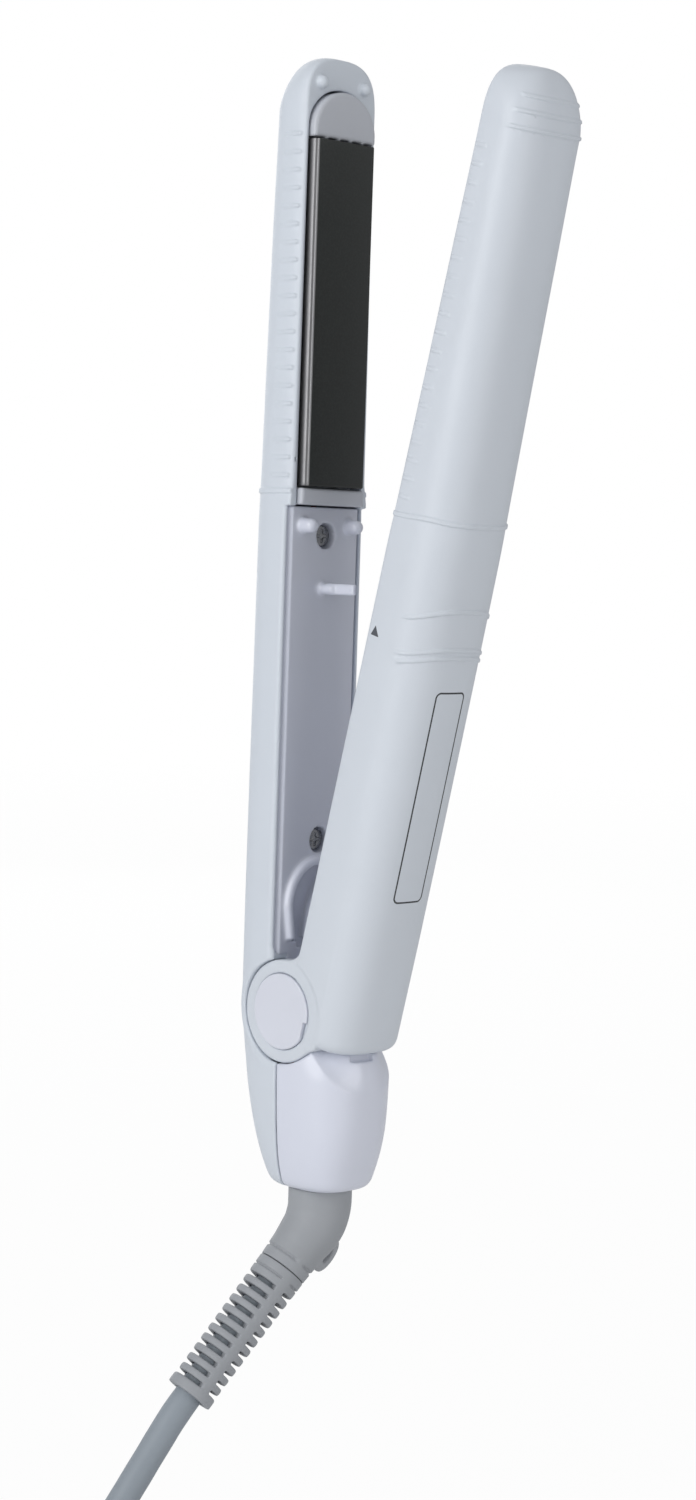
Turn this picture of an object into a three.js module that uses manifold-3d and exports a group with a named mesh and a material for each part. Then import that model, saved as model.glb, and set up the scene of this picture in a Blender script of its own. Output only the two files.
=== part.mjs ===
// Compact two-arm hair straightening iron with a swivel cord.
// Millimetres, +Z up along the main arm, Y along the arm hinge, +X from the main arm towards the
// swing arm. The origin is the centre of the outer face of the near (-Y) hinge cap; the hinge axis
// runs through it. The swing arm is shown at its sprung-open stop.
import * as THREE from 'three';
import { mergeVertices } from 'three/addons/utils/BufferGeometryUtils.js';
import Module from 'manifold-3d';

const wasm = await Module();
wasm.setup();

// ---------------------------------------------------------------- driving dimensions
const DEG = Math.PI / 180;
const BEYOND = 60;              // reach of a cutting solid that must clear the part
const OPENING = 13.8 * DEG;     // swing arm at its stop

// arms; x is measured from the mating plane
const TIP_Z = 188.4;
const TIP_START = 176;          // where the rounded tip begins
const TIP_POWER = 2.54;         // squareness of the tip outline
const SECTION_POWER = 2.7;      // squareness of the arm sections
const SECTION_X = 6;            // widest line of a section
const RIM_X = 2;                // mouth of each shell
const WALL = 1.5;               // at the back of a shell
const SIDE_WALL = 1.1;
const MAIN_Z0 = -5.2;           // lower end of the main arm, above the tail
const SWING_Z0 = -4;            // lower end of the swing arm

// hinge
const HUB_R = 9.2;
const HUB_HALF = 6.8;
const EAR_R = 10.27;
const EAR_IN = 7.15;
const EAR_OUT = 10.8;
const EAR_CLEAR_R = 10.75;      // pocket round an ear
const CAP_R = 7.55;
const CAP_FACE = 11.19;
const CAP_IN = 10.2;
const PIN_R = 2.2;
const PIN_BORE_R = PIN_R + 0.1;

// tail, below the hinge on the main arm
const TAIL_Z = -36.5;
const TAIL_SEAM_X = -0.75;      // seam between shell and inner cover
const CORD_X = 2;               // swivel axis of the cord

// profile tables, each entry [z, distance]
const MAIN_DEPTH = [
  [-36.5, 7.2], [-33, 8.9], [-29, 10.7], [-24, 12.5], [-18, 14.1], [-12, 15.2], [-6, 15.6],
  [0, 15.5], [20, 15.6], [45, 15.5], [70, 15.3], [100, 15.1], [130, 14.5], [155, 13.9],
  [176, 13.0], [190, 13.0],
];
const SWING_DEPTH = [
  [-4, 17.0], [20, 17.1], [45, 16.9], [70, 16.6], [100, 16.1], [130, 14.8], [155, 13.8],
  [176, 12.8], [190, 12.8],
];
const HALF_WIDTH = [
  [-36.5, 8.0], [-33, 9.3], [-29, 10.1], [-24, 10.6], [-18, 10.9], [-12, 11.1], [0, 11.2],
  [20, 11.2], [60, 11.1], [97, 11.0], [106, 10.75], [140, 10.4], [176, 10.1], [190, 10.1],
];
const TAIL_FRONT = [
  [-36.5, 11.2], [-33, 12.2], [-29, 13.5], [-24, 14.6], [-18, 15.0], [-12, 15.1], [-5, 14.9],
];

// groups: each arm turns about the y axis of the main group
const group = new THREE.Group();
const main = new THREE.Group();
main.position.set(0, CAP_FACE, 0);
group.add(main);
const swing = new THREE.Group();  // modelled closed
swing.rotation.y = OPENING;
main.add(swing);

// what differs between the arms; side is the sign of x, screws are [y, z]
const MAIN = {
  name: 'main', parent: main, side: -1, depth: MAIN_DEPTH, panelX: 2.8,
  cavityZ0: -6, mouthDepth: 12.4, pegY: 6.3, pegZ: 96.2,
  screws: { upper: [0.3, 94.3], lower: [1.1, 33.4] },
};
const SWING = {
  name: 'swing', parent: swing, side: 1, depth: SWING_DEPTH, panelX: 3.4,
  cavityZ0: SWING_Z0 + 1.6, mouthDepth: 12.2, pegY: 6.2, pegZ: 90,
  screws: { upper: [0, 94.3], lower: [0, 33.4] },
};

// ---------------------------------------------------------------- materials
const finish = options => new THREE.MeshStandardMaterial(options);
const MATERIAL = {
  shell: finish({ color: 0xcfd6e0, roughness: 0.55 }),
  white: finish({ color: 0xd9dee9, roughness: 0.25 }),
  carrier: finish({ color: 0xc9cdd6, roughness: 0.4 }),
  plate: finish({ color: 0x34373a, roughness: 0.35, metalness: 0.3 }),
  steel: finish({ color: 0x9a9fa6, roughness: 0.3, metalness: 1 }),
  aluminium: finish({ color: 0xb9bdc2, roughness: 0.35, metalness: 1 }),
  ceramic: finish({ color: 0xe6e0d2, roughness: 0.6 }),
  silicone: finish({ color: 0xb5553c, roughness: 0.7 }),
  board: finish({ color: 0x2f6b45, roughness: 0.5 }),
  dark: finish({ color: 0x2a2c30, roughness: 0.5 }),
  grey: finish({ color: 0x989ca4, roughness: 0.65 }),
  cord: finish({ color: 0x939ba6, roughness: 0.6 }),
  red: finish({ color: 0xb03a34, roughness: 0.5 }),
  blue: finish({ color: 0x3d5d9c, roughness: 0.5 }),
  copper: finish({ color: 0xb87333, roughness: 0.4, metalness: 1 }),
  lens: finish({ color: 0xd8a08c, roughness: 0.2 }),
};

// ---------------------------------------------------------------- solids; ranges are [from, to]
function solid(geometry) {
  for (const name of ['normal', 'uv']) geometry.deleteAttribute(name);
  const merged = mergeVertices(geometry, 1e-4);
  const index = merged.index.array;
  const triangles = [];
  for (let i = 0; i < index.length; i += 3) {
    const [a, b, c] = index.slice(i, i + 3);
    if (a !== b && b !== c && c !== a) triangles.push(a, b, c);
  }
  return new wasm.Manifold(new wasm.Mesh({
    numProp: 3,
    vertProperties: new Float32Array(merged.attributes.position.array),
    triVerts: new Uint32Array(triangles),
  }));
}

function put(parent, name, shape, material) {
  const source = shape.getMesh();
  const geometry = new THREE.BufferGeometry();
  const positions = new Float32Array(source.vertProperties);
  geometry.setAttribute('position', new THREE.BufferAttribute(positions, 3));
  geometry.setIndex(new THREE.BufferAttribute(new Uint32Array(source.triVerts), 1));
  geometry.computeVertexNormals();
  const mesh = new THREE.Mesh(geometry, material);
  mesh.name = name;
  parent.add(mesh);
}

const even = half => [-half, half];
const around = (centre, half) => [centre - half, centre + half];
// the range from..to on the + side, or its mirror image on the - side
const onSide = (side, from, to) => (side < 0 ? [-to, -from] : [from, to]);
const both = make => make(-1).add(make(1));
const middle = ([from, to]) => (from + to) / 2;
const span = ([from, to]) => to - from;

const box = (x, y, z) => solid(new THREE.BoxGeometry(span(x), span(y), span(z))
  .translate(middle(x), middle(y), middle(z)));
const cylX = (radius, x, y, z, seg, endRadius = radius) => solid(
  new THREE.CylinderGeometry(endRadius, radius, span(x), seg)
    .rotateZ(-Math.PI / 2).translate(middle(x), y, z));
const cylY = (radius, y, seg) => solid(
  new THREE.CylinderGeometry(radius, radius, span(y), seg).translate(0, middle(y), 0));
const cylZ = (radius, z, seg, x = 0, y = 0) => solid(
  new THREE.CylinderGeometry(radius, radius, span(z), seg)
    .rotateX(Math.PI / 2).translate(x, y, middle(z)));

const extrude = (outline, range) => new THREE.ExtrudeGeometry(
  new THREE.Shape(outline.map(([u, v]) => new THREE.Vector2(u, v))),
  { depth: span(range), bevelEnabled: false });
const YZX_AXES = new THREE.Matrix4().makeBasis(
  new THREE.Vector3(0, 1, 0), new THREE.Vector3(0, 0, 1), new THREE.Vector3(1, 0, 0));
// outline in (y, z)
const prismX = (outline, x) => solid(
  extrude(outline, x).applyMatrix4(YZX_AXES).translate(x[0], 0, 0));
// outline in (x, z)
const prismY = (outline, y) => solid(
  extrude(outline, y).rotateX(Math.PI / 2).translate(0, y[1], 0));
// outline in (x, y)
const prismZ = (outline, z) => solid(extrude(outline, z).translate(0, 0, z[0]));

// box and x prism given for the +X side and mirrored for side -1
const slab = (side, x, y, z) => box(onSide(side, ...x), y, z);
const slabPrism = (side, outline, x) => prismX(outline, onSide(side, ...x));

// closed solid through rings of equal length; the ends are closed with fans
function loft(rings) {
  const count = rings[0].length;
  const positions = rings.flat(2);
  const triangles = [];
  for (let i = 0; i + 1 < rings.length; i++) {
    for (let k = 0; k < count; k++) {
      const a = i * count + k;
      const b = i * count + (k + 1) % count;
      triangles.push(a, b, b + count, a, b + count, a + count);
    }
  }
  for (const i of [0, rings.length - 1]) {
    const centre = [0, 1, 2].map(j => rings[i].reduce((sum, p) => sum + p[j] / count, 0));
    const hub = positions.length / 3;
    positions.push(...centre);
    for (let k = 0; k < count; k++) {
      const a = i * count + k;
      const b = i * count + (k + 1) % count;
      triangles.push(hub, ...(i === 0 ? [b, a] : [a, b]));
    }
  }
  // turn the faces outwards if the enclosed volume comes out negative
  let volume = 0;
  for (let i = 0; i < triangles.length; i += 3) {
    const [p, q, r] = [0, 1, 2].map(
      j => new THREE.Vector3().fromArray(positions, triangles[i + j] * 3));
    volume += p.dot(q.cross(r));
  }
  if (volume < 0) triangles.reverse();
  const geometry = new THREE.BufferGeometry();
  geometry.setAttribute('position', new THREE.Float32BufferAttribute(positions, 3));
  geometry.setIndex(triangles);
  return solid(geometry);
}

// unit circle as [cos, sin] pairs; phase shifts it by a fraction of a segment
const circle = (seg, phase = 0) => Array.from({ length: seg }, (_, k) => {
  const angle = 2 * Math.PI * (k + phase) / seg;
  return [Math.cos(angle), Math.sin(angle)];
});
const ringAround = (centre, u, v, radius, unitCircle) => unitCircle.map(([c, s]) => (
  centre.clone().addScaledVector(u, radius * c).addScaledVector(v, radius * s).toArray()));

function interpolate(table, z) {
  if (z <= table[0][0]) return table[0][1];
  for (let i = 1; i < table.length; i++) {
    if (z <= table[i][0]) {
      const [z0, value0] = table[i - 1];
      const [z1, value1] = table[i];
      return value0 + (value1 - value0) * (z - z0) / (z1 - z0);
    }
  }
  return table[table.length - 1][1];
}

// ---------------------------------------------------------------- arm sections
const SECTION_SEG = 28;
const CAVITY_SEG = 20;
const OUTER_STATIONS = [
  20, 50, 80, 97, 104, 130, 155, TIP_START, 179.5, 182.3, 184.6, 186.4, 187.6, 188.2,
];
const CAVITY_STATIONS = [20, 50, 80, 97, 104, 130, 155, 172];
const CAVITY_FRONT = 13;        // reach of the cavity section from SECTION_X to the mating side
const CAVITY_MOUTH_X = -4;
const LOWER_CAVITY_TOP = 100.1; // the cavity is narrower above, round the plate carrier
const MOUTH_Z = { start: 95, straight: 173.6, top: 181.8 };
const CARRIER_HALF = 8.65;
const MOUTH_HALF = CARRIER_HALF + 0.3;

const signedPower = (v, power) => Math.sign(v) * Math.abs(v) ** power;
// unit rounded square
const squircle = seg => circle(seg, 0.5).map(
  point => point.map(v => signedPower(v, 2 / SECTION_POWER)));

function tipScale(z) {
  const along = Math.max((z - TIP_START) / (TIP_Z - TIP_START), 0);
  return (1 - along ** TIP_POWER) ** (1 / TIP_POWER);
}

function armRing(side, z, { depth, half, front, mouth, seg, scale = 1 }) {
  return squircle(seg).map(([c, s]) => {
    const x = SECTION_X + (c > 0 ? depth - SECTION_X : front) * c * scale;
    return [side * Math.max(x, mouth), s * half * scale, z];
  });
}

const armOuter = (arm, z0, frontAt) => loft([z0, ...OUTER_STATIONS].map(
  z => armRing(arm.side, z, {
    depth: interpolate(arm.depth, z),
    half: interpolate(HALF_WIDTH, z),
    front: frontAt(z),
    mouth: RIM_X,
    scale: tipScale(z),
    seg: SECTION_SEG,
  })));

function armInner(arm, z0, z1) {
  const between = CAVITY_STATIONS.filter(z => z > z0 + 1 && z < z1 - 1);
  return loft([z0, ...between, z1].map(z => armRing(arm.side, z, {
    depth: interpolate(arm.depth, z) - WALL,
    half: interpolate(HALF_WIDTH, z) - SIDE_WALL,
    front: CAVITY_FRONT,
    mouth: CAVITY_MOUTH_X,
    seg: CAVITY_SEG,
  })));
}

// (y, z) outline with straight sides and a round top
function domeOutline(half, { start, straight, top }) {
  const points = [[-half, start], [half, start], [half, straight]];
  for (let k = 1; k < 12; k++) {
    const angle = Math.PI * k / 12;
    points.push([half * Math.cos(angle), straight + (top - straight) * Math.sin(angle)]);
  }
  points.push([-half, straight]);
  return points;
}

function hollow(shell, arm) {
  const below = box(even(BEYOND), even(BEYOND), [-BEYOND, LOWER_CAVITY_TOP]);
  const mouth = slabPrism(arm.side, domeOutline(MOUTH_HALF, MOUTH_Z), [-3, arm.mouthDepth]);
  return shell
    .subtract(armInner(arm, arm.cavityZ0, 172).intersect(below))
    .subtract(armInner(arm, 90, 182).intersect(mouth));
}

// ---------------------------------------------------------------- tail
const tailRing = (z, inset, seg) => {
  const back = interpolate(MAIN_DEPTH, z) - inset;
  const front = interpolate(TAIL_FRONT, z) - inset;
  const half = interpolate(HALF_WIDTH, z) - inset;
  return squircle(seg).map(([c, s]) => [(front - back) / 2 + c * (front + back) / 2, s * half, z]);
};
const END_SCALE = 0.8;          // the lowest ring is drawn in towards the cord axis
const tailOuter = loft([
  tailRing(TAIL_Z, 0, SECTION_SEG)
    .map(([x, y, z]) => [CORD_X + (x - CORD_X) * END_SCALE, y * END_SCALE, z]),
  ...[-35.4, -33, -29, -24, -18, -12, -5].map(z => tailRing(z, 0, SECTION_SEG)),
]);
const tailInner = loft([
  tailRing(-34.8, WALL + 0.8, CAVITY_SEG),
  ...[-33, -29, -24, -18, -12].map(z => tailRing(z, WALL, CAVITY_SEG)),
]);
const cordHole = cylZ(4.9, [-40, -30], 24, CORD_X);
// round pockets for the ears of the swing arm
const earPockets = fromY => both(s => cylY(EAR_CLEAR_R, onSide(s, fromY, BEYOND), 40));

// ---------------------------------------------------------------- main arm shell
const KNUCKLE_R = 7.1;
const KNUCKLE_IN = 5.3;
const KNUCKLE_OUT = HUB_HALF - 0.05;
// web from a knuckle to the back of the shell, (x, z)
const KNUCKLE_WEB = [
  [-14.4, 12.5], [-14.4, -12.5], [-9, -12.5], [-3.5, -6.1], [-3.5, 6.1], [-9, 12.5],
];
const POCKET_WALL = { radius: 12.3, bore: 7, frontX: -3.1, z: [-11.2, 12], inY: 5.9 };
const POCKET_LIP_Y = [6.5, 10];
const TAIL_PASSAGE = { x: [-12.5, 2], y: even(8.5), z: [-12.2, -4] };
const BACK_CUT_X = [-18, -12];
const SLOT = { half: 1.1, z: [44.8, 53.9] };
const LIGHT_Z = 68;
const LIGHT_HOLE_R = 1.5;
// reach of the section towards the mating side, full below z 98 and reduced above 104
const MAIN_FRONT = [[98, 15], [104, 7.4]];

function knuckle(s) {
  const y = onSide(s, KNUCKLE_IN, KNUCKLE_OUT);
  return cylY(KNUCKLE_R, y, 32)
    .add(prismY(KNUCKLE_WEB, y))
    .subtract(cylY(PIN_BORE_R + 0.1, even(12), 24));
}

// side wall of an ear pocket, between knuckle and shell side, with a lip round the pocket
function pocketWall(s) {
  const { radius, bore, frontX, z, inY } = POCKET_WALL;
  const backPart = box([-BEYOND, frontX], even(BEYOND), z);
  const disc = cylY(radius, onSide(s, inY, KNUCKLE_OUT), 40)
    .subtract(cylY(bore, even(12), 32));
  const lip = cylY(radius, onSide(s, ...POCKET_LIP_Y), 40)
    .subtract(cylY(EAR_CLEAR_R, even(12), 40));
  return disc.intersect(backPart).add(lip.intersect(backPart));
}

function mainShell() {
  const tailBack = tailOuter
    .intersect(box([-BEYOND, TAIL_SEAM_X], even(BEYOND), [-BEYOND, -5]))
    .subtract(tailInner)
    .subtract(box(TAIL_PASSAGE.x, TAIL_PASSAGE.y, TAIL_PASSAGE.z));
  return hollow(armOuter(MAIN, MAIN_Z0, z => interpolate(MAIN_FRONT, z)), MAIN)
    .add(tailBack)
    .subtract(earPockets(HUB_HALF + 0.1))
    .add(both(knuckle))
    .add(both(pocketWall))
    .subtract(box(BACK_CUT_X, even(SLOT.half), SLOT.z))
    .subtract(cylX(LIGHT_HOLE_R, BACK_CUT_X, 0, LIGHT_Z, 16))
    .subtract(cordHole);
}
put(main, 'main_shell', mainShell(), MATERIAL.shell);

// ---------------------------------------------------------------- inner covers, shared features
const PANEL_THICK = 1.4;
const PANEL_TOP = 99.5;
const PEG = { rootR: 1.7, tipR: 1.1, tipX: 0.35 };
const SCREW_HOLE_R = 1.2;
const SCREW_RECESS = { radius: 2.5, depth: 0.8 };

// (x, z) band between two arcs about the hinge, angles in degrees from +X towards +Z
function arcBand(inner, outer, from, to, steps) {
  const arc = radius => Array.from({ length: steps + 1 }, (_, k) => {
    const angle = (from + (to - from) * k / steps) * DEG;
    return [radius * Math.cos(angle), radius * Math.sin(angle)];
  });
  return [...arc(outer), ...arc(inner).reverse()];
}

const panel = ({ side, panelX }, half, z) => (
  slab(side, [panelX, panelX + PANEL_THICK], even(half), z));

// tapered bumper pegs near the top, and recessed screw holes
function withPegsAndHoles(cover, { side, panelX, pegY, pegZ, screws }) {
  const [startR, endR] = side < 0 ? [PEG.rootR, PEG.tipR] : [PEG.tipR, PEG.rootR];
  const pegX = onSide(side, PEG.tipX, panelX + 0.6);
  let result = cover.add(both(s => cylX(startR, pegX, s * pegY, pegZ, 16, endR)));
  for (const [y, z] of Object.values(screws)) {
    const recessX = onSide(side, 0, panelX + SCREW_RECESS.depth);
    result = result
      .subtract(cylX(SCREW_HOLE_R, onSide(side, 0, 12), y, z, 16))
      .subtract(cylX(SCREW_RECESS.radius, recessX, y, z, 20));
  }
  return result;
}

// ---------------------------------------------------------------- main inner cover
const HUB_BORE_R = 7.5;
const SEAM_GAP = 0.3;
const SHOULDER_GAP = 0.45;      // below the open swing arm
const SCOOP_X = 9.4;
// scooped shoulder beside the neck on the +Y side, (y, z)
const SCOOP = [[7.2, -2], [16, -2], [16, -15.4], [11.3, -15.4], [9.6, -12.6], [7.2, -8.6]];
// cable arch, outer line (y, z)
const ARCH = [
  [-7.6, 12.6], [-7.6, 21], [-6.4, 25.6], [-3.6, 28.6], [0, 29.6],
  [3.6, 28.6], [6.4, 25.6], [7.6, 21], [7.6, 12.6],
];
const ARCH_SPRING_Z = 21;       // where the arch starts to curve
const ARCH_INNER_SCALE = 0.76;
const ARCH_X = 1.5;
const POST_ROOT_X = -MAIN.panelX - 0.5;
// guide post, (x, y)
const POST = [
  [POST_ROOT_X, -2.6], [-1.6, -1.9], [7.0, -1.5], [7.4, -1.1],
  [7.4, 0.1], [7.0, 0.5], [-1.6, 0.9], [POST_ROOT_X, 1.6],
];
const POST_Z = [82.7, 84.9];

function tailFrontHalf() {
  // everything above the line just under the open swing arm
  const shoulderZ = x => (
    -Math.tan(OPENING) * x + (SWING_Z0 - SHOULDER_GAP) / Math.cos(OPENING));
  const aboveShoulder = prismY([
    [-BEYOND, shoulderZ(-BEYOND)], [BEYOND, shoulderZ(BEYOND)],
    [BEYOND, BEYOND], [-BEYOND, BEYOND],
  ], even(BEYOND));
  return tailOuter
    .intersect(box([TAIL_SEAM_X + SEAM_GAP, BEYOND], even(BEYOND), [-BEYOND, -5.1]))
    .subtract(tailInner)
    .subtract(aboveShoulder)
    .subtract(earPockets(HUB_HALF))
    .subtract(cordHole)
    .subtract(both(s => prismX(SCOOP.map(([y, z]) => [s * y, z]), [SCOOP_X, 20])));
}

function cableArch() {
  const inner = ARCH.map(([y, z]) => [
    y * ARCH_INNER_SCALE,
    z < ARCH_SPRING_Z ? z : ARCH_SPRING_Z + (z - ARCH_SPRING_Z) * ARCH_INNER_SCALE,
  ]);
  return slabPrism(-1, [...ARCH, ...inner.reverse()], [ARCH_X, MAIN.panelX + 0.4]);
}

function mainInnerCover() {
  const hood = prismY(arcBand(HUB_R - WALL, HUB_R, 108, -50, 20), even(HUB_HALF));
  const body = panel(MAIN, 9.2, [12.2, PANEL_TOP])
    .add(panel(MAIN, 5.6, [7.4, 13]))
    .add(hood)
    .add(tailFrontHalf())
    .add(cableArch())
    .add(prismZ(POST, POST_Z));
  return withPegsAndHoles(body, MAIN).subtract(cylY(HUB_BORE_R, even(HUB_HALF + 0.1), 32));
}
put(main, 'main_inner_cover', mainInnerCover(), MATERIAL.white);

// ---------------------------------------------------------------- swing arm shell
const SWING_FRONT = 7;
const HUB_ROOM_R = HUB_R + 0.5;
const HUB_ROOM_HALF = HUB_HALF + 0.3;
// web from an ear to the shell, (x, z)
const EAR_WEB = [
  [1.0, 10.1], [2.2, 12.4], [9.6, 12.4], [9.6, SWING_Z0],
  [7, SWING_Z0], [7, -7.5], [3, -9.6], [0, -9],
];
// part of the ears cut off below the arm, (x, z)
const EAR_TRIM = [
  [7, SWING_Z0 + 0.001], [20, SWING_Z0 + 0.001], [20, -20], [3.2, -20], [3.2, -9.75],
];

const ear = s => {
  const y = onSide(s, EAR_IN, EAR_OUT);
  return cylY(EAR_R, y, 40).add(prismY(EAR_WEB, y));
};

// cap seat, recess for the pin end, pin bore, and the room outside the ear
const EAR_BORES = [
  { radius: CAP_R + 0.25, from: CAP_IN - 0.1, seg: 36 },
  { radius: 3.9, from: 9.1, seg: 24 },
  { radius: PIN_BORE_R, from: EAR_IN - 0.5, seg: 24 },
  { radius: EAR_R, from: EAR_OUT, seg: 40 },
];
const earBore = s => EAR_BORES
  .map(({ radius, from, seg }) => cylY(radius, onSide(s, from, 14), seg))
  .reduce((sum, bore) => sum.add(bore));

function swingShell() {
  return hollow(armOuter(SWING, SWING_Z0, () => SWING_FRONT), SWING)
    .subtract(cylY(HUB_ROOM_R, even(HUB_ROOM_HALF), 40))
    .subtract(box([-5, HUB_ROOM_R], even(HUB_ROOM_HALF), [-6, 0]))
    .add(both(ear).subtract(prismY(EAR_TRIM, even(20))))
    .subtract(both(earBore));
}
put(swing, 'swing_shell', swingShell(), MATERIAL.shell);

// ---------------------------------------------------------------- swing inner cover
const SWING_HOOD = { inner: 9.95, outer: 11.2, half: 6.8 };
const POST_WINDOW = { x: [2, 6], y: [-3.4, 2.4], z: [80.6, 86.4] };

function swingInnerCover() {
  const { inner, outer, half } = SWING_HOOD;
  const body = panel(SWING, 8.9, [12.8, PANEL_TOP])
    .add(panel(SWING, half, [9.3, 13.2]))
    .add(prismY(arcBand(inner, outer, 70, -6, 12), even(half)))
    .subtract(box(POST_WINDOW.x, POST_WINDOW.y, POST_WINDOW.z));
  return withPegsAndHoles(body, SWING);
}
put(swing, 'swing_inner_cover', swingInnerCover(), MATERIAL.white);

// ---------------------------------------------------------------- plates, one set per arm
const CARRIER_Z0 = 100.2;
const CARRIER_BACK_HALF = 8.1;
const CARRIER_DOME = { start: 172.1, straight: 173.5, top: 181.5 };
const CARRIER_BACK_DOME = { ...CARRIER_DOME, top: 180.6 };
const PLATE_Z = [104, 171.7];
const PLATE_FACE = 0.1;         // plate face, from the mating plane
const PLATE_HALF = 8.2;
// half of the channel-shaped plate section, (x, y), from face edge round the flange to the inside
const PLATE_SIDE = [
  [PLATE_FACE, 7.8], [PLATE_FACE + 0.25, 8.0], [PLATE_FACE + 0.8, PLATE_HALF],
  [3.2, PLATE_HALF], [3.2, 7.1], [1.3, 7.1],
];

function plateCarrier(side) {
  const backHalf = even(CARRIER_BACK_HALF);
  return slabPrism(side, domeOutline(CARRIER_HALF, CARRIER_DOME), [0.5, 4.6])
    .add(slabPrism(side, domeOutline(CARRIER_BACK_HALF, CARRIER_BACK_DOME), [4.5, 7.6]))
    .add(slab(side, [4.3, 7.6], backHalf, [CARRIER_Z0, 173]))
    .add(slab(side, [0.7, 4.6], even(CARRIER_HALF), [CARRIER_Z0, 103.6]))
    .subtract(slab(side, [3, 7], even(7.1), [107, 169]))
    .subtract(slab(side, [6.5, 9], even(3), [107, 111]));
}

function heaterPlate(side) {
  const outline = [
    ...PLATE_SIDE.map(([x, y]) => [side * x, -y]),
    ...PLATE_SIDE.map(([x, y]) => [side * x, y]).reverse(),
  ];
  return prismZ(outline, PLATE_Z);
}

// strip behind the element with a lug down each side
const elementClamp = side => slab(side, [3.7, 4.3], even(5.8), [109, 167])
  .add(both(s => slab(side, [1.7, 4.3], onSide(s, 5.6, 6.7), [130, 146])));
const platePad = (side, z) => slab(side, [5.1, 6.9], even(4), z);

for (const { parent, name, side } of [MAIN, SWING]) {
  const element = slab(side, [1.6, 3.4], even(5.2), [110, 166]);
  put(parent, `${name}_plate_carrier`, plateCarrier(side), MATERIAL.carrier);
  put(parent, `${name}_heater_plate`, heaterPlate(side), MATERIAL.plate);
  put(parent, `${name}_heater_element`, element, MATERIAL.ceramic);
  put(parent, `${name}_element_clamp`, elementClamp(side), MATERIAL.aluminium);
  put(parent, `${name}_plate_pad_upper`, platePad(side, [156, 162]), MATERIAL.silicone);
  put(parent, `${name}_plate_pad_lower`, platePad(side, [114, 120]), MATERIAL.silicone);
}

// ---------------------------------------------------------------- cover screws
const SCREW = { headR: 2.1, headHeight: 0.65, shankR: 0.95, length: 4.2 };
const CROSS = { depth: 0.35, long: 1.2, narrow: 0.25 };

// cross-head screw, its head just inside the panel face
function coverScrew({ side, panelX }, [y, z]) {
  const head = panelX + 0.1;
  const crossX = [head - 0.2, head + CROSS.depth];
  const shankX = onSide(side, head + 0.5, head + SCREW.length);
  return cylX(SCREW.headR, onSide(side, head, head + SCREW.headHeight), y, z, 20)
    .add(cylX(SCREW.shankR, shankX, y, z, 12))
    .subtract(slab(side, crossX, around(y, CROSS.long), around(z, CROSS.narrow)))
    .subtract(slab(side, crossX, around(y, CROSS.narrow), around(z, CROSS.long)));
}
for (const arm of [MAIN, SWING]) {
  for (const [place, at] of Object.entries(arm.screws)) {
    const name = `${arm.name}_cover_screw_${place}`;
    put(arm.parent, name, coverScrew(arm, at), MATERIAL.steel);
  }
}

// ---------------------------------------------------------------- hinge
const PIN_HEAD_R = 3.4;
const CLIP_R = 3.3;
const CAP_NOTCH = { x: [6.7, 8], depth: 0.6, z: [-3.6, 0.3] };
const SPRING = { radius: 3.9, wireR: 0.5, half: 3.2, turns: 3.75, start: -0.6 * Math.PI };

const hingePin = () => cylY(PIN_R, [-9.9, 9.95], 24).add(cylY(PIN_HEAD_R, [-9.95, -9.3], 24));

const retainingClip = () => cylY(CLIP_R, [9.25, 9.75], 24)
  .subtract(cylY(PIN_R + 0.12, [9, 10], 24))
  .subtract(box([1, 4], [9, 10], even(1.1)));

const hingeCap = s => cylY(CAP_R, onSide(s, CAP_IN, CAP_FACE), 48)
  .subtract(box(CAP_NOTCH.x, onSide(s, CAP_FACE - CAP_NOTCH.depth, 12), CAP_NOTCH.z));

class Helix extends THREE.Curve {
  getPoint(t, target = new THREE.Vector3()) {
    const { radius, half, turns, start } = SPRING;
    const angle = start + 2 * Math.PI * turns * t;
    return target.set(radius * Math.cos(angle), half * (2 * t - 1), radius * Math.sin(angle));
  }
}

function hingeSpring() {
  const section = circle(6).map(
    ([c, s]) => new THREE.Vector2(SPRING.wireR * c, SPRING.wireR * s));
  const options = { steps: 56, extrudePath: new Helix(), bevelEnabled: false };
  return solid(new THREE.ExtrudeGeometry(new THREE.Shape(section), options));
}

put(main, 'hinge_pin', hingePin(), MATERIAL.steel);
put(main, 'hinge_retaining_clip', retainingClip(), MATERIAL.steel);
put(swing, 'hinge_cap_near', hingeCap(-1), MATERIAL.white);
put(swing, 'hinge_cap_far', hingeCap(1), MATERIAL.white);
put(main, 'hinge_spring', hingeSpring(), MATERIAL.steel);

// ---------------------------------------------------------------- electrics in the main arm
const KNOB_Z = [45.3, 49.3];
// ribbed thumb piece of the switch knob, (x, z)
const KNOB_GRIP = [
  [-16.0, 43.4], [-16.0, 51.2], [-17.0, 50.6], [-17.2, 49], [-16.8, 48.4], [-17.2, 47.8],
  [-16.8, 47.2], [-17.2, 46.6], [-16.8, 46.0], [-17.2, 45.4], [-17.0, 44.0],
];

const controlBoard = () => box([-8.6, -7.4], even(6.6), [18, 78]);
const switchBody = () => box([-11.6, -8.9], even(2.6), [42, 60])
  .subtract(box([-12, -10.4], even(0.9), [44, 58]));
const switchKnob = () => box([-15.2, -10.7], even(0.6), KNOB_Z)
  .add(box([-17.0, -15.1], even(1.1), KNOB_Z))
  .add(prismY(KNOB_GRIP, even(2.8)));
const lightGuide = () => cylX(1.15, [-15.9, -9.0], 0, LIGHT_Z, 16);
const thermalFuse = () => cylZ(1.4, [84, 93], 12, -6.2, 5.2);

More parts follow.
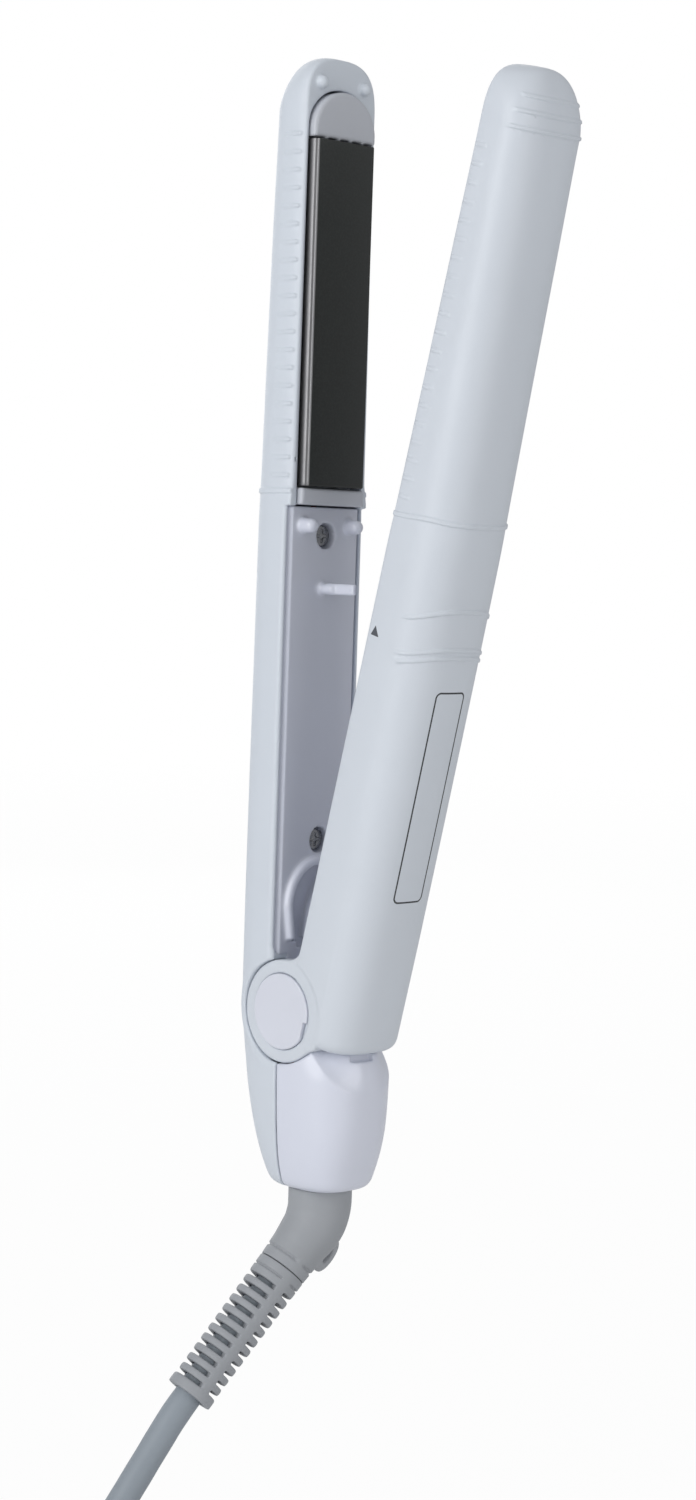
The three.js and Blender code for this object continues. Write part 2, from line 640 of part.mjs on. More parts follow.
put(main, 'control_board', controlBoard(), MATERIAL.board);
put(main, 'switch_body', switchBody(), MATERIAL.dark);
put(main, 'switch_knob', switchKnob(), MATERIAL.grey);
put(main, 'indicator_light_guide', lightGuide(), MATERIAL.lens);
put(main, 'thermal_fuse', thermalFuse(), MATERIAL.aluminium);

// ---------------------------------------------------------------- leads
const LEAD_R = 0.6;
// centre lines, points (x, y, z)
const MAIN_LIVE = [
  [-9.2, 5.2, 79.5], [-9.6, 5.2, 88], [-10.2, 4.4, 98], [-9.6, 2.2, 104], [-8.9, 1.7, 108],
];
const MAIN_NEUTRAL = [
  [-9.2, -4.6, 79.5], [-9.8, -4.6, 88], [-10.2, -4.0, 98], [-9.6, -2.2, 104], [-8.9, -1.7, 108],
];
const SWING_LIVE = [
  [12.2, 3.4, 6], [12.6, 3.6, 30], [12.4, 3.6, 70], [11.2, 3.0, 98], [9.4, 1.7, 107],
];
const MAINS_LIVE = [
  [-5.6, 2.2, 17], [-8.6, 2.6, 10], [-10.6, 2.6, 0],
  [-10.0, 2.4, -10], [-5.5, 1.6, -20], [0.6, 1.3, -26],
];
const mirrorY = points => points.map(([x, y, z]) => [x, -y, z]);

function lead(points, steps) {
  const knots = points.map(point => new THREE.Vector3(...point));
  const curve = new THREE.CatmullRomCurve3(knots, false, 'centripetal');
  const { normals, binormals } = curve.computeFrenetFrames(steps, false);
  return loft(normals.map((normal, i) => (
    ringAround(curve.getPointAt(i / steps), normal, binormals[i], LEAD_R, circle(6)))));
}
for (const [parent, name, live, neutral, steps] of [
  [main, 'main_heater_lead', MAIN_LIVE, MAIN_NEUTRAL, 8],
  [swing, 'swing_heater_lead', SWING_LIVE, mirrorY(SWING_LIVE), 8],
  [main, 'mains_lead', MAINS_LIVE, mirrorY(MAINS_LIVE), 10],
]) {
  put(parent, `${name}_live`, lead(live, steps), MATERIAL.red);
  put(parent, `${name}_neutral`, lead(neutral, steps), MATERIAL.blue);
}

// ---------------------------------------------------------------- cord path
// straight down the swivel axis, round a bend, straight on, then a slight sag back
const cord = new THREE.Group();
cord.position.set(CORD_X, 0, 0);
main.add(cord);

const CORD_TURN = -15 * DEG;    // swivel about the vertical, from -Y
const BEND = 40.8 * DEG;
const BEND_R = 10;
const BEND_STEPS = 5;
const BEND_Z = -38.9;
const SAG = 6.4 * DEG;
const SAG_R = 60;
const SAG_AT = 41;              // lengths from here on are measured past the bend
const SLEEVE_AT = 8.8;
const SLEEVE_LENGTH = 30.8;
const CORD_OUT = 76;
const CORD_R = 2.9;
const CORD_BORE_R = CORD_R + 0.3;

const sideways = new THREE.Vector3(Math.sin(CORD_TURN), -Math.cos(CORD_TURN), 0);
const down = new THREE.Vector3(0, 0, -1);
const across = new THREE.Vector3().crossVectors(sideways, down).normalize();
const blend = (sideAmount, downAmount) => (
  sideways.clone().multiplyScalar(sideAmount).addScaledVector(down, downAmount));
const directionAt = angle => blend(Math.sin(angle), Math.cos(angle));
const onAxis = z => new THREE.Vector3(0, 0, z);
const bendPoint = angle => onAxis(BEND_Z)
  .add(blend(BEND_R * (1 - Math.cos(angle)), BEND_R * Math.sin(angle)));
const bendEnd = bendPoint(BEND);
const outward = directionAt(BEND);

// point and direction of the cord a given length past the bend
function pastBend(length) {
  if (length <= SAG_AT) return [bendEnd.clone().addScaledVector(outward, length), outward];
  const turned = Math.min((length - SAG_AT) / SAG_R, SAG);
  const angle = BEND - turned;
  const direction = directionAt(angle);
  const point = bendEnd.clone()
    .addScaledVector(outward, SAG_AT)
    .add(blend(
      SAG_R * (Math.cos(angle) - Math.cos(BEND)),
      SAG_R * (Math.sin(BEND) - Math.sin(angle))))
    .addScaledVector(direction, length - SAG_AT - SAG_R * turned);
  return [point, direction];
}

// tube along the path from startZ to the last of the given lengths past the bend.
// radiusAt takes 0 above the bend, 0..1 round it, and more than 1 beyond it
function pathTube(startZ, lengths, radiusAt, seg, offset = 0) {
  const ring = (centre, direction, progress) => {
    const normal = new THREE.Vector3().crossVectors(across, direction).normalize();
    const shifted = centre.clone().addScaledVector(across, offset);
    return ringAround(shifted, normal, across, radiusAt(progress), circle(seg, 0.5));
  };
  const rings = [ring(onAxis(startZ), down, 0), ring(onAxis(BEND_Z), down, 0)];
  for (let i = 1; i <= BEND_STEPS; i++) {
    const angle = BEND * i / BEND_STEPS;
    rings.push(ring(bendPoint(angle), directionAt(angle), i / BEND_STEPS));
  }
  for (const length of lengths) rings.push(ring(...pastBend(length), 1 + length));
  return loft(rings);
}

// ---------------------------------------------------------------- cord elbow with eyelet
const ELBOW_R = 6.4;
const ELBOW_TAPER = 0.5;        // radius lost round the bend
const SLEEVE_R0 = 5.15;
const EYELET = {
  along: 0.45,                  // past the bend
  axisOffset: 2,                // from the cord path, along the eyelet's own axis
  reach: 8,                     // hole centre from the cord path
  radius: 3.8,
  holeR: 1.6,
  thick: 3.2,
  neck: 5,
};

function eyeletMatrix() {
  const axis = new THREE.Vector3(0.8736, 0.2588, -0.4110);
  axis.addScaledVector(outward, -axis.dot(outward)).normalize();
  const reachDirection = new THREE.Vector3().crossVectors(axis, outward).normalize();
  const centre = bendEnd.clone()
    .addScaledVector(outward, EYELET.along)
    .addScaledVector(axis, EYELET.axisOffset)
    .addScaledVector(reachDirection, EYELET.reach);
  const third = new THREE.Vector3().crossVectors(reachDirection, axis);
  return new THREE.Matrix4().makeBasis(reachDirection, axis, third).setPosition(centre);
}

function cordElbow() {
  const { radius, holeR, thick, neck } = EYELET;
  const matrix = eyeletMatrix();
  const place = geometry => solid(geometry.applyMatrix4(matrix));
  const lug = place(new THREE.CylinderGeometry(radius, radius, thick, 20))
    .add(place(new THREE.BoxGeometry(neck, thick, 2 * radius).translate(-neck / 2, 0, 0)));
  const radiusAt = progress => (progress <= 1 ? ELBOW_R - ELBOW_TAPER * progress : SLEEVE_R0);
  return pathTube(-36.9, [SLEEVE_AT], radiusAt, 24)
    .add(cylZ(4.6, [-37.5, -33.4], 24))
    .add(cylZ(6.0, [-34.45, -33.2], 24))
    .add(lug)
    .subtract(place(new THREE.CylinderGeometry(holeR, holeR, 4, 16)))
    .subtract(pathTube(-30, [SLEEVE_AT + 3], () => CORD_BORE_R, 16));
}
put(cord, 'cord_elbow', cordElbow(), MATERIAL.grey);

// ---------------------------------------------------------------- slotted strain-relief sleeve
// built along its own z axis, which follows the cord
const SLEEVE_R1 = 4.75;
const COLLAR_Z = 29;
const COLLAR_R = 4.95;          // end collar
const TAPER_END = 28.9;
const SLOTS = { count: 11, first: 4.45, pitch: 2.37, half: 0.55, ribHalf: 1.7, coreR: 3.7 };

const sleeve = new THREE.Group();
sleeve.position.copy(bendEnd).addScaledVector(outward, SLEEVE_AT + 0.3);
sleeve.setRotationFromMatrix(new THREE.Matrix4().makeBasis(
  across, new THREE.Vector3().crossVectors(outward, across), outward));
cord.add(sleeve);

// a slot all round, save for the core and a rib on each side
function sleeveSlot(z) {
  const deeper = around(z, 1);
  return box(even(6), even(6), around(z, SLOTS.half))
    .subtract(box(even(SLOTS.ribHalf), even(7), deeper))
    .subtract(cylZ(SLOTS.coreR, deeper, 16));
}

function strainRelief() {
  const taperR = SLEEVE_R0 + (SLEEVE_R1 - SLEEVE_R0) * TAPER_END / COLLAR_Z;
  // [z, radius]
  const stations = [
    [0, SLEEVE_R0], [TAPER_END, taperR], [COLLAR_Z, COLLAR_R], [SLEEVE_LENGTH, COLLAR_R],
  ];
  let body = loft(stations.map(
    ([z, radius]) => circle(20, 0.5).map(([c, s]) => [radius * c, radius * s, z])));
  for (let i = 0; i < SLOTS.count; i++) {
    body = body.subtract(sleeveSlot(SLOTS.first + SLOTS.pitch * i));
  }
  return body.subtract(cylZ(CORD_BORE_R, [-1, 40], 16));
}
put(sleeve, 'strain_relief_sleeve', strainRelief(), MATERIAL.grey);

// ---------------------------------------------------------------- power cord and conductors
const CONDUCTOR_OFFSET = 1.25;
const CONDUCTOR_R = 0.6;
const CONDUCTOR_BORE_R = 0.85;
const lengthsTo = end => [
  SLEEVE_AT + SLEEVE_LENGTH, SAG_AT, SAG_AT + 3.3, SAG_AT + 6.7, end,
];
const conductorBore = s => pathTube(
  -29, lengthsTo(CORD_OUT + 2), () => CONDUCTOR_BORE_R, 10, s * CONDUCTOR_OFFSET);
const powerCord = () => pathTube(-31, lengthsTo(CORD_OUT), () => CORD_R, 16)
  .subtract(conductorBore(-1))
  .subtract(conductorBore(1));
const conductor = s => pathTube(
  -30.5, lengthsTo(CORD_OUT - 0.05), () => CONDUCTOR_R, 8, s * CONDUCTOR_OFFSET);

put(cord, 'power_cord', powerCord(), MATERIAL.cord);
put(cord, 'cord_conductor_live', conductor(-1), MATERIAL.copper);
put(cord, 'cord_conductor_neutral', conductor(1), MATERIAL.copper);

// washer that keeps the swivel flange in the tail
const swivelRetainer = () => cylZ(6.4, [-32.9, -31.6], 24, CORD_X)
  .subtract(cylZ(3.4, [-34, -30], 16, CORD_X));
put(main, 'swivel_retainer', swivelRetainer(), MATERIAL.dark);

export default group;
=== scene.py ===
import bpy, bmesh, math
import numpy as np
from mathutils import Matrix, Vector


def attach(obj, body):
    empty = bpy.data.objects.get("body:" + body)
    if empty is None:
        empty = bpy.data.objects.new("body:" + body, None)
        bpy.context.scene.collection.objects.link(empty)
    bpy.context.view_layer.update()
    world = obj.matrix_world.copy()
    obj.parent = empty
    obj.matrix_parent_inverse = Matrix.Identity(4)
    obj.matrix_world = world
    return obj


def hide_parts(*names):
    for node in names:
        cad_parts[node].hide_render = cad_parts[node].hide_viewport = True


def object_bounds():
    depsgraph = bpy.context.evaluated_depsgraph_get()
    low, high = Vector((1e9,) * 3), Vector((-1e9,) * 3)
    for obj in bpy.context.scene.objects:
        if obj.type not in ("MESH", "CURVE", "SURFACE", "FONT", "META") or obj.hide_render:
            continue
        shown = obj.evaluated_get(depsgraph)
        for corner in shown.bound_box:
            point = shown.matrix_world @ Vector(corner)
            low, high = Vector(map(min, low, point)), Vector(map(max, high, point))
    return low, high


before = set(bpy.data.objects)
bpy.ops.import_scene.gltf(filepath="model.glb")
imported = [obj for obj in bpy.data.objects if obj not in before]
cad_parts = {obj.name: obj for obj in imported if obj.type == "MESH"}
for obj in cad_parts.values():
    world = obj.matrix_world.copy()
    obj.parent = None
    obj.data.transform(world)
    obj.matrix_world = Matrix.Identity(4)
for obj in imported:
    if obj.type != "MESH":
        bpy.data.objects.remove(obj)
cad_lo, cad_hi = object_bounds()
COARSE = 1.0

# ------------------------------------------------------------------ dimensions, in millimetres, hinge axis at x = z = 0, y = 0 in the middle
OPEN = math.radians(13.8)
CAP_Y = 11.19
N = 2.7
TIP_START, TIP_Z, TIP_FRONT, TIP_BACK = 177.2, 188.3, 3.03, 1.36
MAIN_DEPTH = [[-36.5, 7.2], [-33, 8.9], [-29, 10.7], [-24, 12.5], [-18, 14.1], [-12, 15.2], [-6, 15.6], [0, 15.5], [20, 15.6], [45, 15.5], [70, 15.3], [100, 15.1], [130, 14.5], [155, 13.9], [176, 13.0], [190, 13.0]]
SWING_DEPTH = [[-4, 17.0], [20, 17.1], [45, 16.9], [70, 16.6], [100, 16.1], [130, 14.8], [155, 13.8], [176, 12.8], [190, 12.8]]
HALF_WIDTH = [[-36.5, 8.0], [-33, 9.3], [-29, 10.1], [-24, 10.6], [-18, 10.9], [-12, 11.1], [0, 11.2], [20, 11.2], [60, 11.1], [97, 11.0], [106, 10.75], [140, 10.4], [176, 10.1], [190, 10.1]]
TAIL_FRONT = [[-36.5, 11.2], [-33, 12.2], [-29, 13.5], [-24, 14.6], [-18, 15.0], [-12, 15.1], [-5, 14.9]]
RIM_X = 2.0
CORD_X = 2.0


def smooth_table(table):
    """A table read with rounded corners, so that no crease shows where its slope changes."""
    t = np.array(table, float)
    z = np.arange(t[0, 0] - 6, t[-1, 0] + 6, 0.5)
    v = np.interp(z, t[:, 0], t[:, 1])
    lo = t[0, 1] + (z - t[0, 0]) * (t[1, 1] - t[0, 1]) / (t[1, 0] - t[0, 0])
    v = np.where(z < t[0, 0], lo, v)
    k = np.exp(-0.5 * (np.arange(-12, 13) / 4.5) ** 2)
    k /= k.sum()
    pad = np.concatenate([v[0] + (v[1] - v[0]) * np.arange(-12, 0), v, np.full(12, v[-1])])
    return z, np.convolve(pad, k, "valid")


T = {k: smooth_table(v) for k, v in dict(md=MAIN_DEPTH, sd=SWING_DEPTH, hw=HALF_WIDTH, tf=TAIL_FRONT).items()}


def at(name, z):
    return np.interp(z, T[name][0], T[name][1])


# ------------------------------------------------------------------ distance helpers
def smin(a, b, k):
    h = np.maximum(k - np.abs(a - b), 0) / k
    return np.minimum(a, b) - h * h * k * 0.25


def smax(a, b, k):
    h = np.maximum(k - np.abs(a - b), 0) / k
    return np.maximum(a, b) + h * h * k * 0.25


def step(a, b, x):
    t = np.clip((x - a) / (b - a), 0, 1)
    return t * t * (3 - 2 * t)


def box2(u, v, cu, cv, hu, hv, r=0.0):
    a, b = np.abs(u - cu) - (hu - r), np.abs(v - cv) - (hv - r)
    return np.hypot(np.maximum(a, 0), np.maximum(b, 0)) + np.minimum(np.maximum(a, b), 0) - r


def box3(x, y, z, c, h, r=0.0):
    a, b, d = np.abs(x - c[0]) - (h[0] - r), np.abs(y - c[1]) - (h[1] - r), np.abs(z - c[2]) - (h[2] - r)
    out = np.sqrt(np.maximum(a, 0) ** 2 + np.maximum(b, 0) ** 2 + np.maximum(d, 0) ** 2)
    return out + np.minimum(np.maximum(np.maximum(a, b), d), 0) - r


def superellipse(u, v, su, sv, tip=None, m=None):
    """First-order distance to a squarish ellipse with semi-axes su and sv, closed by a rounded tip."""
    p, q = np.abs(u) / su, np.abs(v) / sv
    r2 = np.power(np.power(p, N) + np.power(q, N) + 1e-9, 1 / N)
    s = np.power(r2, 1 - N)
    g2 = (s * np.power(p, N - 1) / su) ** 2 + (s * np.power(q, N - 1) / sv) ** 2
    if tip is None:
        return (r2 - 1) / np.sqrt(g2 + 1e-12)
    r = np.power(np.power(r2, m) + np.power(tip, m), 1 / m)
    k = np.power(r2 / r, m - 1)
    gz = np.power(tip / r, m - 1) / (TIP_Z - TIP_START)
    return (r - 1) / np.sqrt(k * k * g2 + gz * gz + 1e-12)


def arm(X, y, z, depth, front):
    """Outer skin of an arm; X is the distance behind the mating plane."""
    dx = X - 6
    su = np.where(dx > 0, at(depth, z) - 6, front)
    # the tip is full at the mating plane and tapers towards the back
    back = np.clip((X - 1.8) / (at(depth, z) - 1.8), 0, 1)
    m = TIP_FRONT + (TIP_BACK - TIP_FRONT) * back
    return superellipse(dx, y, su, at("hw", z), np.clip((z - TIP_START) / (TIP_Z - TIP_START), 0, None), m)


def d_outline(y, z, half, straight, top):
    up = np.hypot(y, (z - straight) * half / (top - straight)) - half
    return np.where(z > straight, up, np.abs(y) - half)


def pill_ribs(X, y, z, mid, half, fade):
    """Twenty short grip ribs on each side of an arm, dying out towards the back."""
    k = np.clip(np.round((z - 106.0) / 3.5), 0, 19)
    dz = z - (106.0 + 3.5 * k)
    d = np.hypot(np.maximum(np.abs(X - mid) - half, 0), dz)
    return 0.30 * (1 - fade * step(mid - half, mid + half, X)) * (1 - step(0.24, 0.50, d)) * (np.abs(y) > 6)


def band(z, z0, half, height):
    return height * (1 - step(half * 0.55, half, np.abs(z - z0)))


# ------------------------------------------------------------------ meshing
def surface_net(f, xs, ys, zs, refine=3):
    xs, ys, zs = (np.asarray(a, np.float64) for a in (xs, ys, zs))
    n = (len(xs), len(ys), len(zs))
    F = np.broadcast_to(f(xs[:, None, None], ys[None, :, None], zs[None, None, :]), n).astype(np.float32).copy()
    for a in range(3):
        for e in (0, -1):
            i = [slice(None)] * 3
            i[a] = e
            F[tuple(i)] = np.maximum(F[tuple(i)], 0.05)
    F[np.abs(F) < 1e-6] = 1e-6
    S = F < 0
    P = (xs, ys, zs)
    cn = (n[0] - 1, n[1] - 1, n[2] - 1)
    cells, pts, quads = [], [], []
    for a in range(3):
        u, v = (a + 1) % 3, (a + 2) % 3
        lo = [slice(None)] * 3
        hi = [slice(None)] * 3
        lo[a], hi[a] = slice(0, -1), slice(1, None)
        A, B = S[tuple(lo)], S[tuple(hi)]
        idx = np.argwhere(A != B)
        j = idx.copy()
        j[:, a] += 1
        fa, fb = F[tuple(idx.T)], F[tuple(j.T)]
        t = fa / (fa - fb)
        p = np.stack([P[c][idx[:, c]] for c in range(3)], 1)
        p[:, a] += t * (P[a][j[:, a]] - P[a][idx[:, a]])
        corner = []
        for du, dv in ((-1, -1), (0, -1), (0, 0), (-1, 0)):
            c = idx.copy()
            c[:, u] += du
            c[:, v] += dv
            flat = (c[:, 0] * cn[1] + c[:, 1]) * cn[2] + c[:, 2]
            corner.append(flat)
            cells.append(flat)
            pts.append(p)
        q = np.stack(corner, 1)
        inside_first = A[tuple(idx.T)]
        q[~inside_first] = q[~inside_first][:, ::-1]
        quads.append(q)
    cells, pts, quads = np.concatenate(cells), np.concatenate(pts), np.concatenate(quads)
    uniq, inv = np.unique(cells, return_inverse=True)
    count = np.bincount(inv, minlength=len(uniq))
    V = np.stack([np.bincount(inv, pts[:, c], len(uniq)) / count for c in range(3)], 1)
    Q = np.searchsorted(uniq, quads)
    h = 0.03
    for _ in range(refine):
        f0 = f(V[:, 0], V[:, 1], V[:, 2])
        g = np.stack([f(V[:, 0] + h * (c == 0), V[:, 1] + h * (c == 1), V[:, 2] + h * (c == 2)) - f0 for c in range(3)], 1) / h
        g2 = (g * g).sum(1) + 1e-6
        move = -(f0 / g2)[:, None] * g
        size = np.linalg.norm(move, axis=1)
        move *= np.minimum(1, 0.15 / np.maximum(size, 1e-9))[:, None]
        V = V + move
    return V, Q


def spans(*parts):
    """Grid lines from (start, end, step) runs."""
    out = []
    for a, b, s in parts:
        m = max(2, int(round((b - a) / (s * COARSE))))
        out.append(np.linspace(a, b, m, endpoint=False))
    return np.append(np.concatenate(out), parts[-1][1])


def to_frame(V, swing=False):
    V = np.array(V, float)
    if swing:
        c, s = math.cos(OPEN), math.sin(OPEN)
        x, z = V[:, 0] * c + V[:, 2] * s, -V[:, 0] * s + V[:, 2] * c
        V = np.stack([x, V[:, 1], z], 1)
    return (V + np.array([0, CAP_Y, 0])) / 1000


def mesh_object(name, V, faces, smooth=True):
    me = bpy.data.meshes.new(name)
    if isinstance(faces, np.ndarray):
        k = faces.shape[1]
        me.vertices.add(len(V))
        me.vertices.foreach_set("co", np.asarray(V, np.float32).ravel())
        me.loops.add(faces.size)
        me.loops.foreach_set("vertex_index", faces.astype(np.int32).ravel())
        me.polygons.add(len(faces))
        me.polygons.foreach_set("loop_start", np.arange(0, faces.size, k, dtype=np.int32))
        me.update(calc_edges=True)
    else:
        me.from_pydata([tuple(p) for p in V], [], faces)
    me.validate()
    if smooth:
        me.shade_smooth()
    o = bpy.data.objects.new(name, me)
    bpy.context.scene.collection.objects.link(o)
    return o


def thin(o, ratio):
    """Lets the flat stretches of a dense mesh carry fewer faces."""
    if ratio >= 1:
        return o
    m = o.modifiers.new("thin", "DECIMATE")
    m.ratio = ratio
    dg = bpy.context.evaluated_depsgraph_get()
    me = bpy.data.meshes.new_from_object(o.evaluated_get(dg), depsgraph=dg)
    o.modifiers.clear()
    old = o.data
    o.data = me
    bpy.data.meshes.remove(old)
    me.name = o.name
    me.shade_smooth()
    return o


def carve(name, f, xs, ys, zs, body, material, nodes=(), swing=False, ratio=1.0, refine=3):
    V, Q = surface_net(f, xs, ys, zs, refine)
    o = mesh_object(name, to_frame(V, swing), Q)
    thin(o, ratio)
    o.data.materials.clear()
    o.data.materials.append(material)
    return settle(o, body, nodes)


def settle(o, body, nodes=()):
    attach(o, body)
    if nodes:
        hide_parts(*nodes)
    return o


# ------------------------------------------------------------------ materials
def tree(name):
    m = bpy.data.materials.new(name)
    m.use_nodes = True
    nt = m.node_tree
    nt.nodes.clear()
    out = nt.nodes.new("ShaderNodeOutputMaterial")
    b = nt.nodes.new("ShaderNodeBsdfPrincipled")
    nt.links.new(b.outputs[0], out.inputs[0])
    tc = nt.nodes.new("ShaderNodeTexCoord")
    return m, nt, b, tc


def noise(nt, vec, scale, detail=3.0, rough=0.5):
    n = nt.nodes.new("ShaderNodeTexNoise")
    n.inputs["Scale"].default_value = scale
    n.inputs["Detail"].default_value = detail
    n.inputs["Roughness"].default_value = rough
    nt.links.new(vec, n.inputs["Vector"])
    return n.outputs["Fac"]


def math_node(nt, op, a, b=None, c=None, clamp=False):
    n = nt.nodes.new("ShaderNodeMath")
    n.operation = op
    n.use_clamp = clamp
    for i, v in enumerate((a, b, c)):
        if v is None:
            continue
        if isinstance(v, (int, float)):
            n.inputs[i].default_value = v
        else:
            nt.links.new(v, n.inputs[i])
    return n.outputs[0]


def mix(nt, fac, a, b, mode="MIX"):
    n = nt.nodes.new("ShaderNodeMix")
    n.data_type = "RGBA"
    n.blend_type = mode
    for sock, v in ((n.inputs[0], fac), (n.inputs[6], a), (n.inputs[7], b)):
        if isinstance(v, (int, float)):
            sock.default_value = v
        elif isinstance(v, tuple):
            sock.default_value = (*v, 1)
        else:
            nt.links.new(v, sock)
    return n.outputs[2]


def ramp(nt, fac, lo, hi, a, b):
    n = nt.nodes.new("ShaderNodeMapRange")
    n.inputs["From Min"].default_value, n.inputs["From Max"].default_value = lo, hi
    n.inputs["To Min"].default_value, n.inputs["To Max"].default_value = a, b
    nt.links.new(fac, n.inputs["Value"])
    return n.outputs[0]


def plastic(name, base, rough=0.42, grain=0.00002, grain_scale=2600, spread=0.03, coat=0.0, specular=0.5, shade=None, metal=0.0, sheen=0.0, print_and_shade=None):
    """Moulded plastic or rubber: cloudy colour, fine eroded grain and uneven gloss."""
    m, nt, b, tc = tree(name)
    vec = tc.outputs["Object"]
    cloud = noise(nt, vec, 55, 4, 0.55)
    dark = tuple(c * (1 - spread) for c in base)
    light = tuple(min(1, c * (1 + spread)) for c in base)
    col = mix(nt, ramp(nt, cloud, 0.35, 0.65, 0, 1), dark, light)
    speck = noise(nt, vec, 900, 2, 0.6)
    col = mix(nt, ramp(nt, speck, 0.55, 0.80, 0, 0.03), col, tuple(c * 0.8 for c in base))
    # optional colour overlay: printed marks, and painted shade on the inner cover's flat panel
    if print_and_shade:
        col = print_and_shade(nt, vec, col)
    nt.links.new(col, b.inputs["Base Color"])
    smear = noise(nt, vec, 160, 3, 0.6)
    nt.links.new(ramp(nt, smear, 0.2, 0.8, rough - 0.02, rough + 0.03), b.inputs["Roughness"])
    b.inputs["Specular IOR Level"].default_value = specular
    b.inputs["Metallic"].default_value = metal
    b.inputs["Coat Weight"].default_value = coat
    b.inputs["Coat Roughness"].default_value = 0.12
    if sheen:
        b.inputs["Sheen Weight"].default_value = sheen
    if grain:
        fine = noise(nt, vec, grain_scale, 3, 0.65)
        bump = nt.nodes.new("ShaderNodeBump")
        bump.inputs["Strength"].default_value = 0.55
        bump.inputs["Distance"].default_value = grain
        nt.links.new(fine, bump.inputs["Height"])
        nt.links.new(bump.outputs[0], b.inputs["Normal"])
    return m


def swing_marks(nt, vec, col):
    """A blank printed frame on the back of the swing arm and a small arrow head on its near side."""
    sep = nt.nodes.new("ShaderNodeSeparateXYZ")
    nt.links.new(vec, sep.inputs[0])
    x, y, z = (sep.outputs[i] for i in range(3))
    c, s = math.cos(OPEN), math.sin(OPEN)
    xb = math_node(nt, "SUBTRACT", math_node(nt, "MULTIPLY", x, c), math_node(nt, "MULTIPLY", z, s))
    zb = math_node(nt, "ADD", math_node(nt, "MULTIPLY", x, s), math_node(nt, "MULTIPLY", z, c))
    yh = math_node(nt, "SUBTRACT", y, CAP_Y / 1000)
    # rounded rectangle outline
    r, hy, hz = 0.0011, 0.00385, 0.0212
    a = math_node(nt, "MAXIMUM", math_node(nt, "SUBTRACT", math_node(nt, "ABSOLUTE", math_node(nt, "SUBTRACT", yh, 0.0001)), hy - r), 0)
    e = math_node(nt, "MAXIMUM", math_node(nt, "SUBTRACT", math_node(nt, "ABSOLUTE", math_node(nt, "SUBTRACT", zb, 0.0497)), hz - r), 0)
    d = math_node(nt, "SUBTRACT", math_node(nt, "SQRT", math_node(nt, "ADD", math_node(nt, "MULTIPLY", a, a), math_node(nt, "MULTIPLY", e, e))), r)
    line = math_node(nt, "LESS_THAN", math_node(nt, "ABSOLUTE", d), 0.00018)
    line = math_node(nt, "MULTIPLY", line, math_node(nt, "GREATER_THAN", xb, 0.012))
    inner = ramp(nt, math_node(nt, "ABSOLUTE", d), 0, 0.0004, 0.0, 1.0)
    # arrow head on the near side
    t = math_node(nt, "DIVIDE", math_node(nt, "SUBTRACT", 0.0807, zb), 0.0020)
    w = math_node(nt, "MULTIPLY", t, 0.00115)
    mid = math_node(nt, "ADD", 0.0038, math_node(nt, "MULTIPLY", t, 0.0002))
    tri = math_node(nt, "LESS_THAN", math_node(nt, "ABSOLUTE", math_node(nt, "SUBTRACT", xb, mid)), w)
    tri = math_node(nt, "MULTIPLY", tri, math_node(nt, "LESS_THAN", t, 1.0))
    tri = math_node(nt, "MULTIPLY", tri, math_node(nt, "LESS_THAN", yh, -0.008))
    col = mix(nt, math_node(nt, "MULTIPLY", line, 0.97), col, (0.02, 0.021, 0.024))
    return mix(nt, math_node(nt, "MULTIPLY", tri, 0.95), col, (0.05, 0.055, 0.07))


def panel_painted_shade(nt, vec, col):
    """Painted shade: the flat panel is multiplied to a greyer white than the tail it belongs to, standing in for the
    shadow that the open swing arm casts on it.
    """
    sep = nt.nodes.new("ShaderNodeSeparateXYZ")
    nt.links.new(vec, sep.inputs[0])
    # mask of the flat panel that receives the painted shade
    flat = math_node(nt, "MULTIPLY", ramp(nt, sep.outputs[0], -0.00262, -0.00250, 1, 0), ramp(nt, sep.outputs[2], 0.006, 0.010, 0, 1))
    inner = ramp(nt, math_node(nt, "ABSOLUTE", math_node(nt, "SUBTRACT", sep.outputs[1], CAP_Y / 1000)), 0.00885, 0.00895, 1, 0)
    # painted shade: the panel colour is multiplied darker where the swing arm's shadow falls
    return mix(nt, math_node(nt, "MULTIPLY", flat, inner), col, (0.87, 0.87, 0.865), "MULTIPLY")


def plate_material(name):
    """Charcoal ceramic coat on the working face, bare drawn metal along the edges."""
    m, nt, b, tc = tree(name)
    vec = tc.outputs["Object"]
    sep = nt.nodes.new("ShaderNodeSeparateXYZ")
    nt.links.new(vec, sep.inputs[0])
    yh = math_node(nt, "ABSOLUTE", math_node(nt, "SUBTRACT", sep.outputs[1], CAP_Y / 1000))
    edge = ramp(nt, yh, 0.00750, 0.00756, 0, 1)
    stretch = nt.nodes.new("ShaderNodeMapping")
    stretch.inputs["Scale"].default_value = (1, 1, 0.03)
    nt.links.new(vec, stretch.inputs[0])
    lines = noise(nt, stretch.outputs[0], 4200, 3, 0.6)
    fleck = noise(nt, vec, 2400, 2, 0.5)
    coat = mix(nt, ramp(nt, fleck, 0.4, 0.7, 0, 1), (0.030, 0.033, 0.032), (0.038, 0.041, 0.040))
    bare = mix(nt, lines, (0.16, 0.16, 0.165), (0.30, 0.30, 0.31))
    nt.links.new(mix(nt, edge, coat, bare), b.inputs["Base Color"])
    nt.links.new(ramp(nt, edge, 0, 1, 0.15, 0.85), b.inputs["Metallic"])
    nt.links.new(ramp(nt, fleck, 0.3, 0.7, 0.36, 0.44), b.inputs["Roughness"])
    b.inputs["Specular IOR Level"].default_value = 0.35
    bump = nt.nodes.new("ShaderNodeBump")
    bump.inputs["Strength"].default_value = 0.35
    bump.inputs["Distance"].default_value = 0.00001
    nt.links.new(mix(nt, edge, fleck, lines), bump.inputs["Height"])
    nt.links.new(bump.outputs[0], b.inputs["Normal"])
    return m


